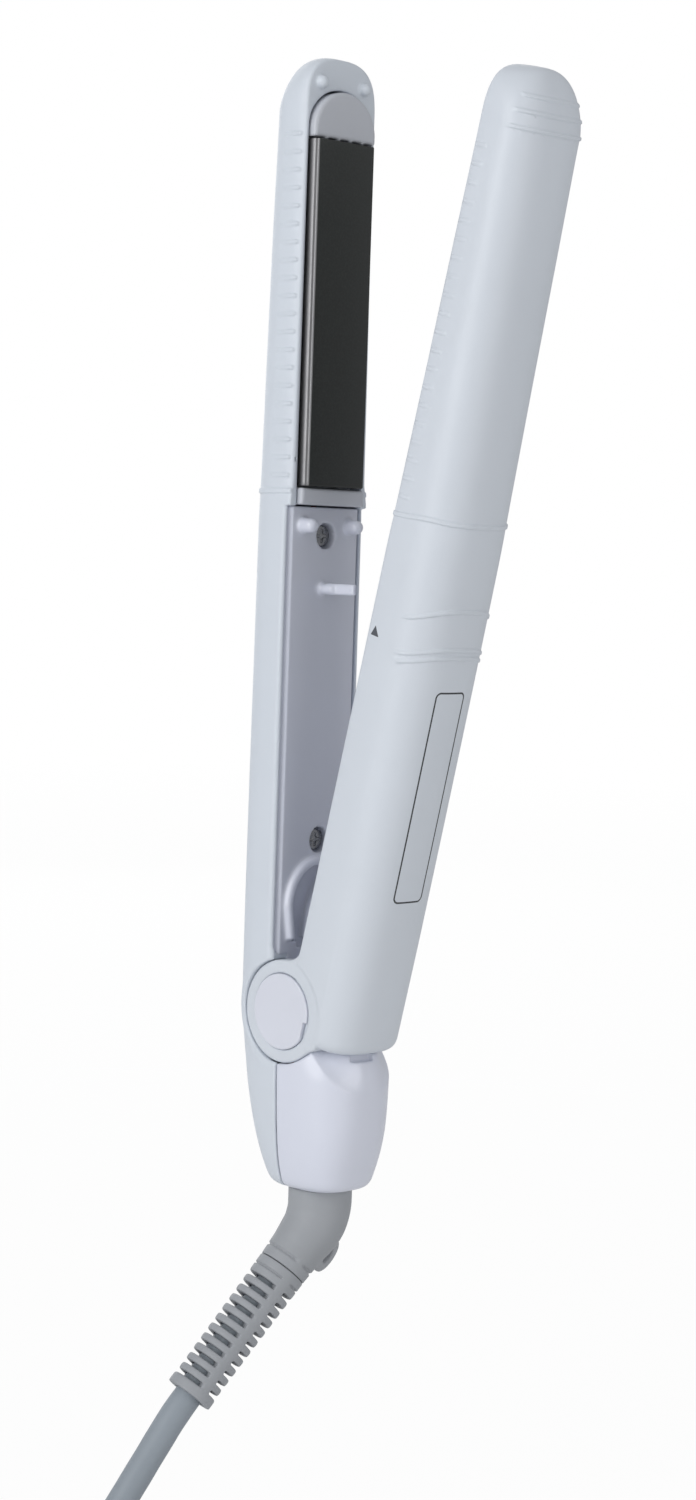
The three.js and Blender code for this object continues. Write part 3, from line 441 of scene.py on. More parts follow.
def metal(name, base, rough=0.3, turned=None):
    m, nt, b, tc = tree(name)
    vec = tc.outputs["Object"]
    stretch = nt.nodes.new("ShaderNodeMapping")
    stretch.inputs["Scale"].default_value = turned or (1, 1, 0.05)
    nt.links.new(vec, stretch.inputs[0])
    lines = noise(nt, stretch.outputs[0], 3800, 3, 0.6)
    cloud = noise(nt, vec, 240, 3, 0.6)
    col = mix(nt, ramp(nt, cloud, 0.3, 0.7, 0, 1), tuple(c * 0.86 for c in base), base)
    nt.links.new(col, b.inputs["Base Color"])
    b.inputs["Metallic"].default_value = 1
    nt.links.new(ramp(nt, lines, 0.3, 0.7, rough - 0.08, rough + 0.1), b.inputs["Roughness"])
    bump = nt.nodes.new("ShaderNodeBump")
    bump.inputs["Strength"].default_value = 0.4
    bump.inputs["Distance"].default_value = 0.00001
    nt.links.new(lines, bump.inputs["Height"])
    nt.links.new(bump.outputs[0], b.inputs["Normal"])
    return m


M = {
    "shell": plastic("shell_matte", (0.61, 0.655, 0.72), 0.44, 0.000014, 3000, 0.008),
    "swing": plastic("swing_shell_matte", (0.61, 0.65, 0.71), 0.44, 0.000014, 3000, 0.008, print_and_shade=swing_marks),
    # the inner cover material carries painted shade on its flat panel, standing in for the swing arm's shadow
    "white": plastic("cover_gloss", (0.66, 0.685, 0.78), 0.29, 0, 2000, 0.0, coat=0.12, print_and_shade=panel_painted_shade),
    "panel": plastic("panel_gloss", (0.60, 0.62, 0.70), 0.32, 0.000008, 2200, 0.012, coat=0.2),
    "cap": plastic("cap_satin", (0.655, 0.675, 0.755), 0.36, 0.000008, 2600, 0.010),
    "carrier": plastic("carrier_plastic", (0.51, 0.53, 0.58), 0.38, 0.000010, 2600, 0.012),
    "rubber": plastic("relief_rubber", (0.325, 0.34, 0.365), 0.55, 0.000022, 1900, 0.030, specular=0.4),
    "cord": plastic("cord_jacket", (0.27, 0.305, 0.345), 0.50, 0.000018, 1500, 0.030, specular=0.4),
    "dark": plastic("dark_plastic", (0.03, 0.03, 0.035), 0.5, 0.00001, 2400, 0.08),
    "knob": plastic("switch_plastic", (0.36, 0.38, 0.42), 0.42, 0.000012, 2600, 0.03),
    "lens": plastic("light_guide", (0.75, 0.36, 0.28), 0.16, 0, 2000, 0.04, coat=0.6),
    "board": plastic("board_laminate", (0.05, 0.19, 0.09), 0.4, 0.00001, 1600, 0.10, coat=0.4),
    "ceramic": plastic("heater_ceramic", (0.82, 0.79, 0.70), 0.6, 0.00002, 1800, 0.05),
    "silicone": plastic("silicone", (0.58, 0.20, 0.13), 0.55, 0.00001, 2200, 0.05),
    "red": plastic("wire_red", (0.55, 0.05, 0.04), 0.4, 0.00001, 2200, 0.05),
    "blue": plastic("wire_blue", (0.05, 0.12, 0.45), 0.4, 0.00001, 2200, 0.05),
    "plate": plate_material("plate_coating"),
    "screw": metal("dark_zinc", (0.25, 0.255, 0.27), 0.24, (1, 1, 1)),
    "steel": metal("zinc_steel", (0.56, 0.57, 0.59), 0.3),
    "alu": metal("mill_aluminium", (0.72, 0.73, 0.75), 0.36),
    "copper": metal("bare_copper", (0.75, 0.36, 0.20), 0.34),
}


# ------------------------------------------------------------------ main arm shell
def main_outer(x, y, z):
    X = -x
    front = np.where(z < 98, 15.0, 7.4) + 7.6 * (1 - step(97, 105, z)) * (z >= 98)
    f = arm(X, y, z, "md", front)
    back, fore = at("md", z), at("tf", np.minimum(z, -5))
    tail = superellipse(x - (fore - back) / 2, y, (fore + back) / 2, at("hw", z))
    w = step(3, -13, z)
    f = f * (1 - w) + tail * w
    return smax(f, -35.75 - z, 2.2)


def main_shell(x, y, z):
    X, ay = -x, np.abs(y)
    outer = main_outer(x, y, z)
    skin = outer - pill_ribs(X, y, z, 5.15, 1.95, 0.65) - band(z, 102.9, 0.62, 0.30)
    low = step(-9, 7, z)
    cut = -0.75 - 2.3 * low + 1.05 * (z > 100.0)
    round_k = np.where(z > 100, 0.34, 0.5 + 0.6 * low)
    f = smax(skin, x - cut, round_k)
    r = np.hypot(x, z)
    lip = smax(smax(r - 12.0, ay - 10.25, 1.0), x + 2.9, 0.6)
    f = smin(f, lip, 1.2)
    # hollow behind the inner cover, then the mouth round the plate carrier
    hollow = smax(smax(outer + 0.72, ay - 10.12, 0.3), z - 100.0, 0.2)
    hollow = np.maximum(hollow, -34.0 - z)
    mouth = np.maximum(np.maximum(d_outline(y, z, 8.95, 173.6, 181.8), 95 - z), X - 12.2)
    mouth = smax(mouth, outer + 0.6, 0.3)
    f = smax(f, -hollow, 0.25)
    f = smax(f, -mouth, 0.22)
    # closed ledge round the ear pockets
    ledge = np.maximum(np.maximum(r - 11.9, np.abs(ay - 8.4) - 1.85), np.maximum(x + 3.0, outer + 0.3))
    f = smin(f, ledge, 0.3)
    # hinge: pin knuckles, walls of the ear pockets
    knuckle = np.maximum(np.maximum(r - 7.1, np.abs(ay - 6.02) - 0.72), 2.6 - r)
    web = np.maximum(np.maximum(np.abs(ay - 6.02) - 0.72, np.abs(z) - (4.5 + 0.55 * np.abs(X))), np.maximum(x + 3.5, 7.0 - r))
    wall = np.maximum(np.maximum(r - 12.2, np.abs(ay - 6.3) - 0.45), np.maximum(x + 3.1, 7.0 - r))
    inner = np.maximum(np.minimum(np.minimum(knuckle, web), wall), outer + 0.6)
    f = smin(f, inner, 0.4)
    f = smax(f, -np.maximum(r - 10.44, 6.78 - ay), 0.25)
    # switch slot, light hole, cord hole
    f = smax(f, -np.maximum(box2(y, z, 0, 49.35, 1.1, 4.55, 0.4), 11.5 - X), 0.35)
    f = smax(f, -np.maximum(np.hypot(y, z - 68) - 1.5, 11.5 - X), 0.35)
    f = smax(f, -np.maximum(np.hypot(x - CORD_X, y) - 5.0, z + 30), 0.35)
    # small vent hole in the near rim
    f = np.maximum(f, -box3(x, y, z, (-2.2, -9.45, 109.1), (1.1, 0.22, 0.42), 0.05))
    # soft stop pegs on the rim beside the carrier
    peg = np.sqrt((ay - 5.9) ** 2 + (z - 182.8) ** 2 + (x + 1.55) ** 2) - 1.25
    return smin(f, peg, 0.6)


XM = spans((-16.4, 1.6, 0.42))
YM = spans((-11.9, -7.0, 0.34), (-7.0, 7.0, 0.5), (7.0, 11.9, 0.34))
ZM = spans((-38.2, -13, 0.55), (-13, 13, 0.36), (13, 99, 1.1), (99, 101.8, 0.3), (101.8, 104, 0.13), (104, 174.5, 0.21), (174.5, 189.2, 0.36))
carve("main_shell_moulding", main_shell, XM, YM, ZM, "main_arm", M["shell"], ["main_shell"], ratio=0.6)


# ------------------------------------------------------------------ main inner cover
def arch_line(y, z):
    up = np.hypot(y - 0.3, (z - 20.5) * 0.87) - 7.6
    low = np.abs(y - 0.3) - (7.6 - 0.14 * (20.5 - z))
    return np.where(z > 20.5, up, low)


def main_cover(x, y, z):
    ay, r = np.abs(y), np.hypot(x, z)
    # panel with bevelled long edges
    p = smax(np.maximum(np.abs(z - 55.4) - 44.55, np.abs(x + 3.6) - 0.8), (ay - 8.95 + 0.97 * (x + 2.8)) / 1.39, 0.12)
    p = smax(p, ay - 9.92, 0.1)
    foot = box3(x, y, z, (-3.5, 0, 9.7), (0.7, 6.8, 4.5), 0.25)
    f = np.minimum(p, foot)
    # hood over the hinge pin
    hood = smax(smax(r - 9.2, 7.75 - r, 0.3), ay - 6.8, 0.4)
    ang = np.arctan2(z, x)
    hood = np.maximum(hood, np.maximum(ang - math.radians(118), math.radians(-52) - ang) * 8)
    f = smin(f, hood, 1.0)
    # cable arch: raised wall round a sunk pocket
    line = arch_line(y, z)
    low = 13.8 - z
    wall = smax(smax(np.abs(line) - 0.85, np.abs(x + 2.9) - 1.5, 0.9), low, 0.6)
    f = smin(f, wall, 0.9)
    pocket = np.maximum(np.maximum(line + 0.85, -3.6 - x), np.maximum(13.4 - z, x - 1))
    f = smax(f, -pocket, 0.5)
    # lower wall that narrows the pocket to a channel
    side = -2.95 + 0.0265 * np.maximum(z - 13, 0) ** 2
    guide = smax(smax(np.abs(y - side - 0.85) * 0.92 - 0.8, np.abs(x + 2.9) - 1.5, 0.6), np.maximum(z - 26.2, low), 0.6)
    f = smin(f, guide, 0.3)
    notch = box3(x, y, z, (-2.1, 0.6, 13.0), (1.5, 4.6, 0.9), 0.2)
    f = smax(f, -notch, 0.3)
    # bumper pegs
    t = np.clip((x + 3.2) / 2.9, 0, 1)
    peg = np.sqrt((ay - 6.3) ** 2 + (z - 96.2) ** 2 + np.maximum(x + 0.35, 0) ** 2 + np.maximum(-3.2 - x, 0) ** 2) - (1.55 - 0.17 * t)
    f = smin(f, peg, 0.9)
    # guide post and blade
    post = np.sqrt((y + 0.55) ** 2 + (z - 83.8) ** 2 + np.maximum(x - 0.3, 0) ** 2 + np.maximum(-3 - x, 0) ** 2) - (0.95 + 0.04 * np.clip(-x, 0, 3))
    f = smin(f, post, 1.3)
    blade = box3(x, y, z, (2.6, -0.15, 83.8), (3.8, 0.52, 1.08), 0.4)
    f = smin(f, blade, 0.5)
    # screw recesses
    for sy, sz in ((0.3, 94.3), (1.1, 33.4)):
        rr = np.hypot(y - sy, z - sz)
        f = smin(f, smax(rr - 3.3, np.abs(x + 4.0) - 1.15, 0.2), 0.3)
        f = smax(f, -np.maximum(rr - 2.6, -4.85 - x), 0.3)
    # tail half, cut under the open swing arm; its shoulders sweep in to a narrower neck
    outer = main_outer(x, y, z)
    above = 0.748 * x + 0.663 * z - 0.98
    share = (ay / 11.1) / (np.abs(x) / 15.1 + ay / 11.1 + 1e-6)
    depth = (0.2 + 0.5 * step(0.0, 8.0, ay) + 3.2 * step(0.12, 0.72, share)) * np.where(y > 0, 0.62, 1.0) * (x > 4)
    inset = depth * (1 - np.exp(-np.maximum(above, 0) / 1.25))
    tail = smax(outer + inset, -0.45 - x, 0.5)
    tail = smax(tail, math.sin(OPEN) * x + math.cos(OPEN) * z + 4.45, 0.6)
    tail = smax(tail, -np.maximum(r - 10.44, 6.8 - ay), 0.3)
    tail = smax(tail, -np.maximum(np.maximum(outer + 1.4 + inset + 1.8 * step(-17, -12, z), -34.0 - z), z + 5.0), 0.4)
    tail = smax(tail, -np.maximum(np.hypot(x - CORD_X, y) - 5.0, z + 30), 0.35)
    slotc = box3(x, y, z, (14.6, -0.75, -6.6), (2.2, 2.65, 2.5), 0.35)
    tail = smax(tail, -slotc, 0.15)
    tail = np.maximum(tail, z + 4.6)
    f = smin(f, tail, 0.4)
    return np.maximum(f, -np.maximum(r - 7.5, ay - 7.2))


XC = spans((-5.5, 0.4, 0.28), (0.4, 15.8, 0.42))
YC = spans((-11.8, -6.0, 0.32), (-6.0, 6.0, 0.4), (6.0, 11.8, 0.36))
ZC = spans((-37.6, -17.5, 0.55), (-17.5, 32, 0.36), (32, 81, 0.9), (81, 100.4, 0.32))
carve("main_inner_cover_moulding", main_cover, XC, YC, ZC, "main_arm", M["white"], ["main_inner_cover"], ratio=1.0)


# ------------------------------------------------------------------ swing arm shell
def swing_outer(x, y, z):
    return smax(arm(x, y, z, "sd", 10.5), -4 - z, 2.6)


def swing_shell(x, y, z):
    ay = np.abs(y)
    outer = swing_outer(x, y, z)
    yr = np.clip(ay / 10.5, 0, 1.2) ** 3
    back = step(9.2, 11.4, x)
    lift = pill_ribs(x, y, z, 3.75, 1.1, 0.5) + band(z, 102.45 + 0.95 * step(2, 12, x), 0.55, 0.32)
    lift = lift + back * (band(z, 86.9 - 2.4 * yr, 0.50, 0.28) + band(z, 79.35 - 1.9 * yr, 0.46, 0.28) + band(z, 77.8 - 1.9 * yr, 0.46, 0.28))
    for z0, reach in ((182.9, 7.8), (180.05, 9.1), (177.0, 9.7)):
        lift = lift + band(z, z0, 0.44, 0.30) * (1 - step(reach - 0.25, reach + 0.25, ay)) * (x > 5)
    f = smax(outer - lift, 1.8 - x, 0.36)
    r = np.hypot(x, z)
    hollow = smax(smax(outer + 1.45, ay - 9.4, 0.4), np.maximum(z - 100.0, -2.4 - z), 0.4)
    mouth = np.maximum(np.maximum(d_outline(y, z, 8.95, 173.6, 181.8), 95 - z), x - 12.2)
    mouth = smax(mouth, outer + 0.6, 0.3)
    f = smax(smax(f, -hollow, 0.4), -mouth, 0.22)
    # room for the hub of the main arm
    hub = np.maximum(r - 9.75, ay - 7.1)
    hub = np.minimum(hub, box3(x, y, z, (2.3, 0, -3.0), (7.4, 7.1, 3.1)))
    f = smax(f, -hub, 0.35)
    # hinge ears: flat discs whose outline sweeps into the edge of the body
    body = np.maximum(np.maximum(1.8 - x, -4.0 - z), np.maximum(x - 11.0, z - 24.0))
    disc = smin(r - 10.27, body, np.where(z > 0, 4.8, 2.6))
    ear = np.maximum(smax(disc, ay - 10.72, 0.5), 7.15 - ay)
    ear = np.maximum(ear, np.maximum(z - 23.0, x - 10.8))
    f = smin(f, ear, 0.25)
    f = smax(f, -smax(r - 10.5, 10.72 - ay, 0.5), 0.7)
    # seats for the cap and the pin
    f = smax(f, -np.maximum(r - 7.68, 10.05 - ay), 0.2)
    f = np.maximum(f, -np.maximum(r - 3.9, 9.1 - ay))
    return np.maximum(f, -np.maximum(r - 2.3, 6 - ay))


XS = spans((-11.4, 1.2, 0.36), (1.2, 18.0, 0.42))
YS = YM
ZS = spans((-11.4, 15, 0.36), (15, 75.4, 1.0), (75.4, 80.4, 0.13), (80.4, 84, 0.2), (84, 88, 0.14), (88, 101, 0.9), (101, 104.6, 0.13), (104.6, 174.5, 0.22), (174.5, 184, 0.14), (184, 189.2, 0.3))
carve("swing_shell_moulding", swing_shell, XS, YS, ZS, "swing_arm", M["swing"], ["swing_shell"], swing=True, ratio=0.6)


def swing_cover(x, y, z):
    ay, r = np.abs(y), np.hypot(x, z)
    f = box3(x, y, z, (4.1, 0, 56.1), (0.7, 8.9, 43.4), 0.25)
    f = np.minimum(f, box3(x, y, z, (4.1, 0, 11.3), (0.7, 6.8, 2.4), 0.25))
    ang = np.arctan2(z, x)
    hood = smax(smax(r - 11.2, 9.95 - r, 0.3), ay - 6.8, 0.3)
    hood = np.maximum(hood, np.maximum(ang - math.radians(72), math.radians(-7) - ang) * 9)
    f = smin(f, hood, 0.5)
    f = smax(f, -box3(x, y, z, (4, -0.5, 83.5), (2, 2.9, 2.9), 0.5), 0.35)
    t = np.clip((3.6 - x) / 2.0, 0, 1)
    peg = np.sqrt((ay - 6.2) ** 2 + (z - 90.0) ** 2 + np.maximum(1.6 - x, 0) ** 2 + np.maximum(x - 3.8, 0) ** 2) - (1.55 - 0.3 * t)
    f = smin(f, peg, 1.5)
    for sz in (94.3, 33.4):
        rr = np.hypot(y, z - sz)
        f = smin(f, smax(rr - 3.3, np.abs(x - 4.6) - 1.15, 0.2), 0.3)
        f = smax(f, -np.maximum(rr - 2.6, x - 5.4), 0.3)
    return f


carve("swing_inner_cover_moulding", swing_cover, spans((0.0, 6.2, 0.32), (6.2, 11.8, 0.45)), spans((-9.4, 9.4, 0.42)), spans((-2.2, 13.5, 0.42), (13.5, 80, 0.9), (80, 100.2, 0.36)),
      "swing_arm", M["white"], ["swing_inner_cover"], swing=True, ratio=0.7)


# ------------------------------------------------------------------ plate carriers and plates
def carrier(side):
    def f(x, y, z):
        X, ay = side * x, np.abs(y)
        pad = smax(smax(d_outline(y, z, 8.4, 173.5, 181.4), 172.1 - z, 0.35), np.abs(X - 4.05) - 3.55, 0.9)
        web = np.maximum(np.maximum(ay - 8.1, np.abs(z - 136.6) - 36.4), np.abs(X - 5.95) - 1.65)
        low = smax(smax(ay - 8.65, np.abs(z - 101.95) - 1.65, 0.4), np.abs(X - 4.05) - 3.35, 0.7)
        g = np.minimum(np.minimum(pad, web), low)
        g = np.maximum(g, -np.maximum(np.maximum(ay - 7.1, np.abs(z - 138) - 31), X - 7.0))
        g = np.maximum(g, -box3(X, y, z, (7.7, 0, 109), (1.2, 3, 2)))
        # small locating lugs at the upper end of the plate
        for ly in (-4.9, -1.6, 1.7, 5.0):
            g = smin(g, np.sqrt(((y - ly) * 0.8) ** 2 + (z - 172.15) ** 2 + (np.maximum(np.abs(X - 1.4) - 0.3, 0)) ** 2) - 0.36, 0.25)
        return g
    return f


def chain_profile():
    """Half section of a plate: (distance behind the mating plane, half width), with rounded edges."""
    pts = [(0.10, 0.0), (0.10, 7.46), (0.12, 7.52), (0.20, 7.60), (0.40, 7.76), (0.46, 7.78), (0.52, 7.74), (0.60, 7.75), (0.68, 7.86), (0.76, 8.00), (0.90, 8.08), (1.30, 8.17), (1.42, 8.2), (3.1, 8.2), (3.18, 8.15), (3.2, 8.05), (3.2, 7.2), (3.17, 7.13), (3.08, 7.1), (1.42, 7.1), (1.33, 7.06), (1.3, 6.97), (1.3, 0.0)]
    return pts


def plate(side):
    half = chain_profile()
    ring = [(side * a, -b) for a, b in half] + [(side * a, b) for a, b in reversed(half[1:-1])]
    n = len(ring)
    zs = [104.0, 104.08, 104.3, 105, 120, 138, 155, 170.7, 171.4, 171.62, 171.7]
    inset = [0.16, 0.05, 0, 0, 0, 0, 0, 0, 0, 0.05, 0.16]
    V = []
    for z, d in zip(zs, inset):
        for x, y in ring:
            X = side * x
            V.append((side * (X + d if X < 1 else X - (d if X > 2.5 else 0)), y * (1 - d / 8.2), z))
    F = []
    for i in range(len(zs) - 1):
        for k in range(n):
            a, b = i * n + k, i * n + (k + 1) % n
            F.append((a, b, b + n, a + n))
    F.append(tuple(range(n))[::-1])
    F.append(tuple(range((len(zs) - 1) * n, len(zs) * n)))
    return V, F


for prefix, side, body, sw in (("main", -1, "main_arm", False), ("swing", 1, "swing_arm", True)):
    xs = spans((0.1, 8.2, 0.3))
    xs = xs if side > 0 else -xs[::-1]
    carve(prefix + "_carrier_moulding", carrier(side), xs, spans((-9.1, 9.1, 0.34)), spans((99.6, 104.4, 0.28), (104.4, 171.2, 1.1), (171.2, 182.1, 0.28)),
          body, M["carrier"], [prefix + "_plate_carrier"], swing=sw, ratio=0.8)
    V, F = plate(side)
    o = mesh_object(prefix + "_plate_body", to_frame(V, sw), F)
    bm = bmesh.new()
    bm.from_mesh(o.data)
    bmesh.ops.recalc_face_normals(bm, faces=bm.faces)
    bmesh.ops.triangulate(bm, faces=[f for f in bm.faces if len(f.verts) > 4])
    bm.to_mesh(o.data)
    bm.free()
    o.data.set_sharp_from_angle(angle=math.radians(40))
    o.data.materials.append(M["plate"])
    settle(o, prefix + "_plate", [prefix + "_heater_plate"])


# ------------------------------------------------------------------ screws and hinge caps
def screw(side, face, sy, sz):
    xa = face + 1.15

    def f(x, y, z):
        X = side * x
        r = np.hypot(y - sy, z - sz)
        dome = smax(r - 2.2, np.maximum(xa + 0.16 * (r / 2.1) ** 2 - X, X - xa - 0.75), 0.28)
        shank = np.maximum(r - 0.95 - 0.12 * np.abs(((X * 2.2) % 1) - 0.5), np.abs(X - xa - 1.6) - 1.2)
        g = np.minimum(dome, shank)
        a, b = np.abs(y - sy), np.abs(z - sz)
        u, v = (a + b) * 0.7071, np.abs(a - b) * 0.7071
        cross = np.minimum(np.maximum(a - 1.35, b - 0.3), np.maximum(b - 1.35, a - 0.3))
        cross = smin(cross, r - 0.6, 0.3)
        return smax(g, -np.maximum(cross, X - xa - 0.42 + r * 0.12), 0.08)
    return f


for name, body, side, face, sy, sz, sw in (("main_cover_screw_upper", "main_arm", -1, 2.8, 0.3, 94.3, False), ("main_cover_screw_lower", "main_arm", -1, 2.8, 1.1, 33.4, False),
                                           ("swing_cover_screw_upper", "swing_arm", 1, 3.4, 0.0, 94.3, True), ("swing_cover_screw_lower", "swing_arm", 1, 3.4, 0.0, 33.4, True)):
    xs = spans((face + 0.9, face + 2.1, 0.09), (face + 2.1, face + 4.3, 0.2))
    xs = xs if side > 0 else -xs[::-1]
    carve(name + "_turned", screw(side, face, sy, sz), xs, sy + spans((-2.4, 2.4, 0.11)), sz + spans((-2.4, 2.4, 0.11)), body, M["screw"], [name], swing=sw)


def cap(s):
    def f(x, y, z):
        Y, r = s * y, np.hypot(x, z)
        g = smax(r - 7.55, np.maximum(10.08 - Y, Y - 11.0 + 0.0006 * r * r), 0.28)
        return smax(g, -box3(x, Y, z, (7.25, 11.0, -1.65), (0.55, 1.3, 1.95), 0.12), 0.1)
    return f


for name, s in (("hinge_cap_near", -1), ("hinge_cap_far", 1)):
    ys = spans((10.0, 11.35, 0.12))
    ys = ys if s > 0 else -ys[::-1]
    carve(name + "_disc", cap(s), spans((-7.9, 7.9, 0.22)), ys, spans((-7.9, 7.9, 0.22)), "swing_arm", M["cap"], [name], swing=True)


# ------------------------------------------------------------------ cord, elbow and strain relief
BEND, TURN, BEND_R, Z_BEND = math.radians(40.8), math.radians(-15), 10.0, -38.9
SLEEVE_AT, SLEEVE_LEN, CORD_OUT = 8.8, 30.8, 76.0
SAG, SAG_R, SAG_AT = math.radians(6.4), 60.0, 41.0
side_v = np.array([math.sin(TURN), -math.cos(TURN), 0.0])
down_v = np.array([0, 0, -1.0])
bn_v = np.cross(side_v, down_v)
out_v = side_v * math.sin(BEND) + down_v * math.cos(BEND)
bend_end = np.array([0, 0, Z_BEND]) + side_v * BEND_R * (1 - math.cos(BEND)) + down_v * BEND_R * math.sin(BEND)
n2_v = np.cross(bn_v, out_v)


def path_coords(x, y, z):
    """Length along the elbow path and the two offsets from it."""
    px, py, pz = x - CORD_X, y, z
    u = px * side_v[0] + py * side_v[1]
    v = px * bn_v[0] + py * bn_v[1]
    w = -pz
    du, dw = u - BEND_R, w + Z_BEND
    a = np.arctan2(dw, -du)
    rho = BEND_R - np.hypot(du, dw)
    ox, oy, oz = px - bend_end[0], py - bend_end[1], pz - bend_end[2]
    o = ox * out_v[0] + oy * out_v[1] + oz * out_v[2]
    q = ox * n2_v[0] + oy * n2_v[1] + oz * n2_v[2]
    s = np.where(dw < 0, dw, np.where(o > 0, BEND_R * BEND + o, BEND_R * np.clip(a, 0, BEND)))
    inplane = np.where(dw < 0, u, np.where(o > 0, -q if SIGN < 0 else q, rho))
    return s, inplane, v, o


SIGN = 1
_probe = bend_end + n2_v
SIGN = 1 if float((_probe - bend_end) @ side_v) > 0 else -1

SPINE, BNS = math.radians(-4), 1.0
EYE_AT, EYE_OUT, EYE_SIDE, EYE_T, EYE_R, EYE_HOLE = 0.45, 8.0, 2.0, 1.6, 3.8, 1.6
eye_a = np.array([0.8736, 0.2588, -0.4110])
eye_a = eye_a - out_v * (eye_a @ out_v)
eye_a /= np.linalg.norm(eye_a)
eye_p = np.cross(eye_a, out_v)
eye_p /= np.linalg.norm(eye_p)
eye_c = bend_end + out_v * EYE_AT + eye_p * EYE_OUT + eye_a * EYE_SIDE + np.array([CORD_X, 0, 0])


def elbow(x, y, z):
    s, q, v, o = path_coords(x, y, z)
    arc = BEND_R * BEND
    end = arc + SLEEVE_AT
    R = np.interp(s, [-1, 0, arc * 0.6, arc, arc + 4, end], [6.4, 6.4, 6.25, 5.95, 5.4, 5.12])
    r = np.hypot(q, v)
    f = r - R
    # one shallow groove on each side near the end
    g = arc + SLEEVE_AT - 2.37
    across = np.abs(q * math.cos(SPINE) + v * math.sin(SPINE) * BNS)
    f = f + 0.42 * (1 - step(0.10, 0.42, np.abs(s - g))) * step(0.5, 1.3, across)
    f = smax(f, s - end, 0.22)
    f = smax(f, z + 35.9, 0.3)
    # swivel neck and flange inside the tail
    zz = np.hypot(x - CORD_X, y)
    f = np.minimum(f, np.maximum(zz - 4.6, np.abs(z + 34.95) - 1.75))
    f = np.minimum(f, smax(zz - 6.0, np.abs(z + 33.82) - 0.62, 0.2))
    # hanging eyelet
    ex, ey, ez = x - eye_c[0], y - eye_c[1], z - eye_c[2]
    ep = ex * eye_p[0] + ey * eye_p[1] + ez * eye_p[2]
    ea = ex * eye_a[0] + ey * eye_a[1] + ez * eye_a[2]
    eo = ex * out_v[0] + ey * out_v[1] + ez * out_v[2]
    er = np.hypot(ep, eo)
    lug = smax(er - EYE_R, np.abs(ea) - EYE_T, 0.5)
    root = smax(box2(ep, eo, -2.8, 0, 2.8, EYE_R, 0.3), np.abs(ea) - EYE_T, 0.5)
    f = smin(f, np.minimum(lug, root), 0.7)
    f = smax(f, -(er - EYE_HOLE), 0.3)
    return np.maximum(f, -(np.where(o > -6, np.hypot(q, v), r) - (2.9 + 0.28)))


VE = to_frame(np.array([[0, 0, 0]]))
carve("cord_elbow_moulding", elbow, spans((-9.5, 10.5, 0.33)), spans((-15.5, 13.0, 0.33)), spans((-57.5, -32.8, 0.33)), "cord", M["rubber"], ["cord_elbow"], ratio=0.85)

sleeve_base = bend_end + out_v * (SLEEVE_AT + 0.12) + np.array([CORD_X, 0, 0])
yl_v = np.cross(out_v, bn_v)


def sleeve(x, y, z):
    """Local frame: x and y across, z along the sleeve."""
    r = np.hypot(x, y)
    R = 5.15 - 0.40 * np.clip(z / 29, 0, 1)
    k = np.clip(np.round((z - 4.45) / 2.37), 0, 10)
    ds = z - (4.45 + 2.37 * k)
    # the rings between the slots are crowned
    sides = step(1.4, 2.6, np.abs(y))
    crown = 0.30 * np.clip(1 - (np.abs(ds) / 1.185), 0, 1) ** 2 * (z > 2.5) * (z < 29.6)
    collar = 0.16 * step(28.3, 29.1, z)
    f = smax(r - (R - crown * sides + collar), np.abs(z - 15.4) - 15.4, 0.3)
    slot = smax(np.abs(ds) - 0.47, 1.08 - np.abs(SP(x, y)), 0.35)
    f = smax(f, -slot, 0.25)
    # one blind groove near the elbow
    g = smax(np.abs(z - 2.08) - 0.24, 1.1 - np.abs(SP(x, y)), 0.3)
    f = smax(f, -smax(g, 4.75 - r, 0.2), 0.15)
    return np.maximum(f, 3.18 - r)


def SP(x, y):
    """Offset from the solid spine, which faces local x."""
    return y * math.cos(SPINE) + x * math.sin(SPINE)


V, Q = surface_net(sleeve, spans((-5.7, 5.7, 0.26)), spans((-5.7, 5.7, 0.26)), spans((-0.4, 31.2, 0.2)))
W = V[:, :1] * bn_v + V[:, 1:2] * yl_v + V[:, 2:3] * out_v + sleeve_base
o = mesh_object("strain_relief_moulding", to_frame(W), Q)
thin(o, 0.8)
o.data.materials.clear()
o.data.materials.append(M["rubber"])
settle(o, "cord", ["strain_relief_sleeve"])


def cord_point(t):
    """Centre and direction at a length t from the start of the bend; negative is above it."""
    if t < 0:
        return np.array([0, 0, Z_BEND - t]), down_v
    if t < BEND_R * BEND:
        a = t / BEND_R
        return np.array([0, 0, Z_BEND]) + side_v * BEND_R * (1 - math.cos(a)) + down_v * BEND_R * math.sin(a), side_v * math.sin(a) + down_v * math.cos(a)
    o = t - BEND_R * BEND
    if o <= SAG_AT:
        return bend_end + out_v * o, out_v
    a = min((o - SAG_AT) / SAG_R, SAG)
    d = side_v * math.sin(BEND - a) + down_v * math.cos(BEND - a)
    p = bend_end + out_v * SAG_AT + side_v * SAG_R * (math.cos(BEND - a) - math.cos(BEND)) + down_v * SAG_R * (math.sin(BEND) - math.sin(BEND - a))
    return p + d * (o - SAG_AT - SAG_R * a), d


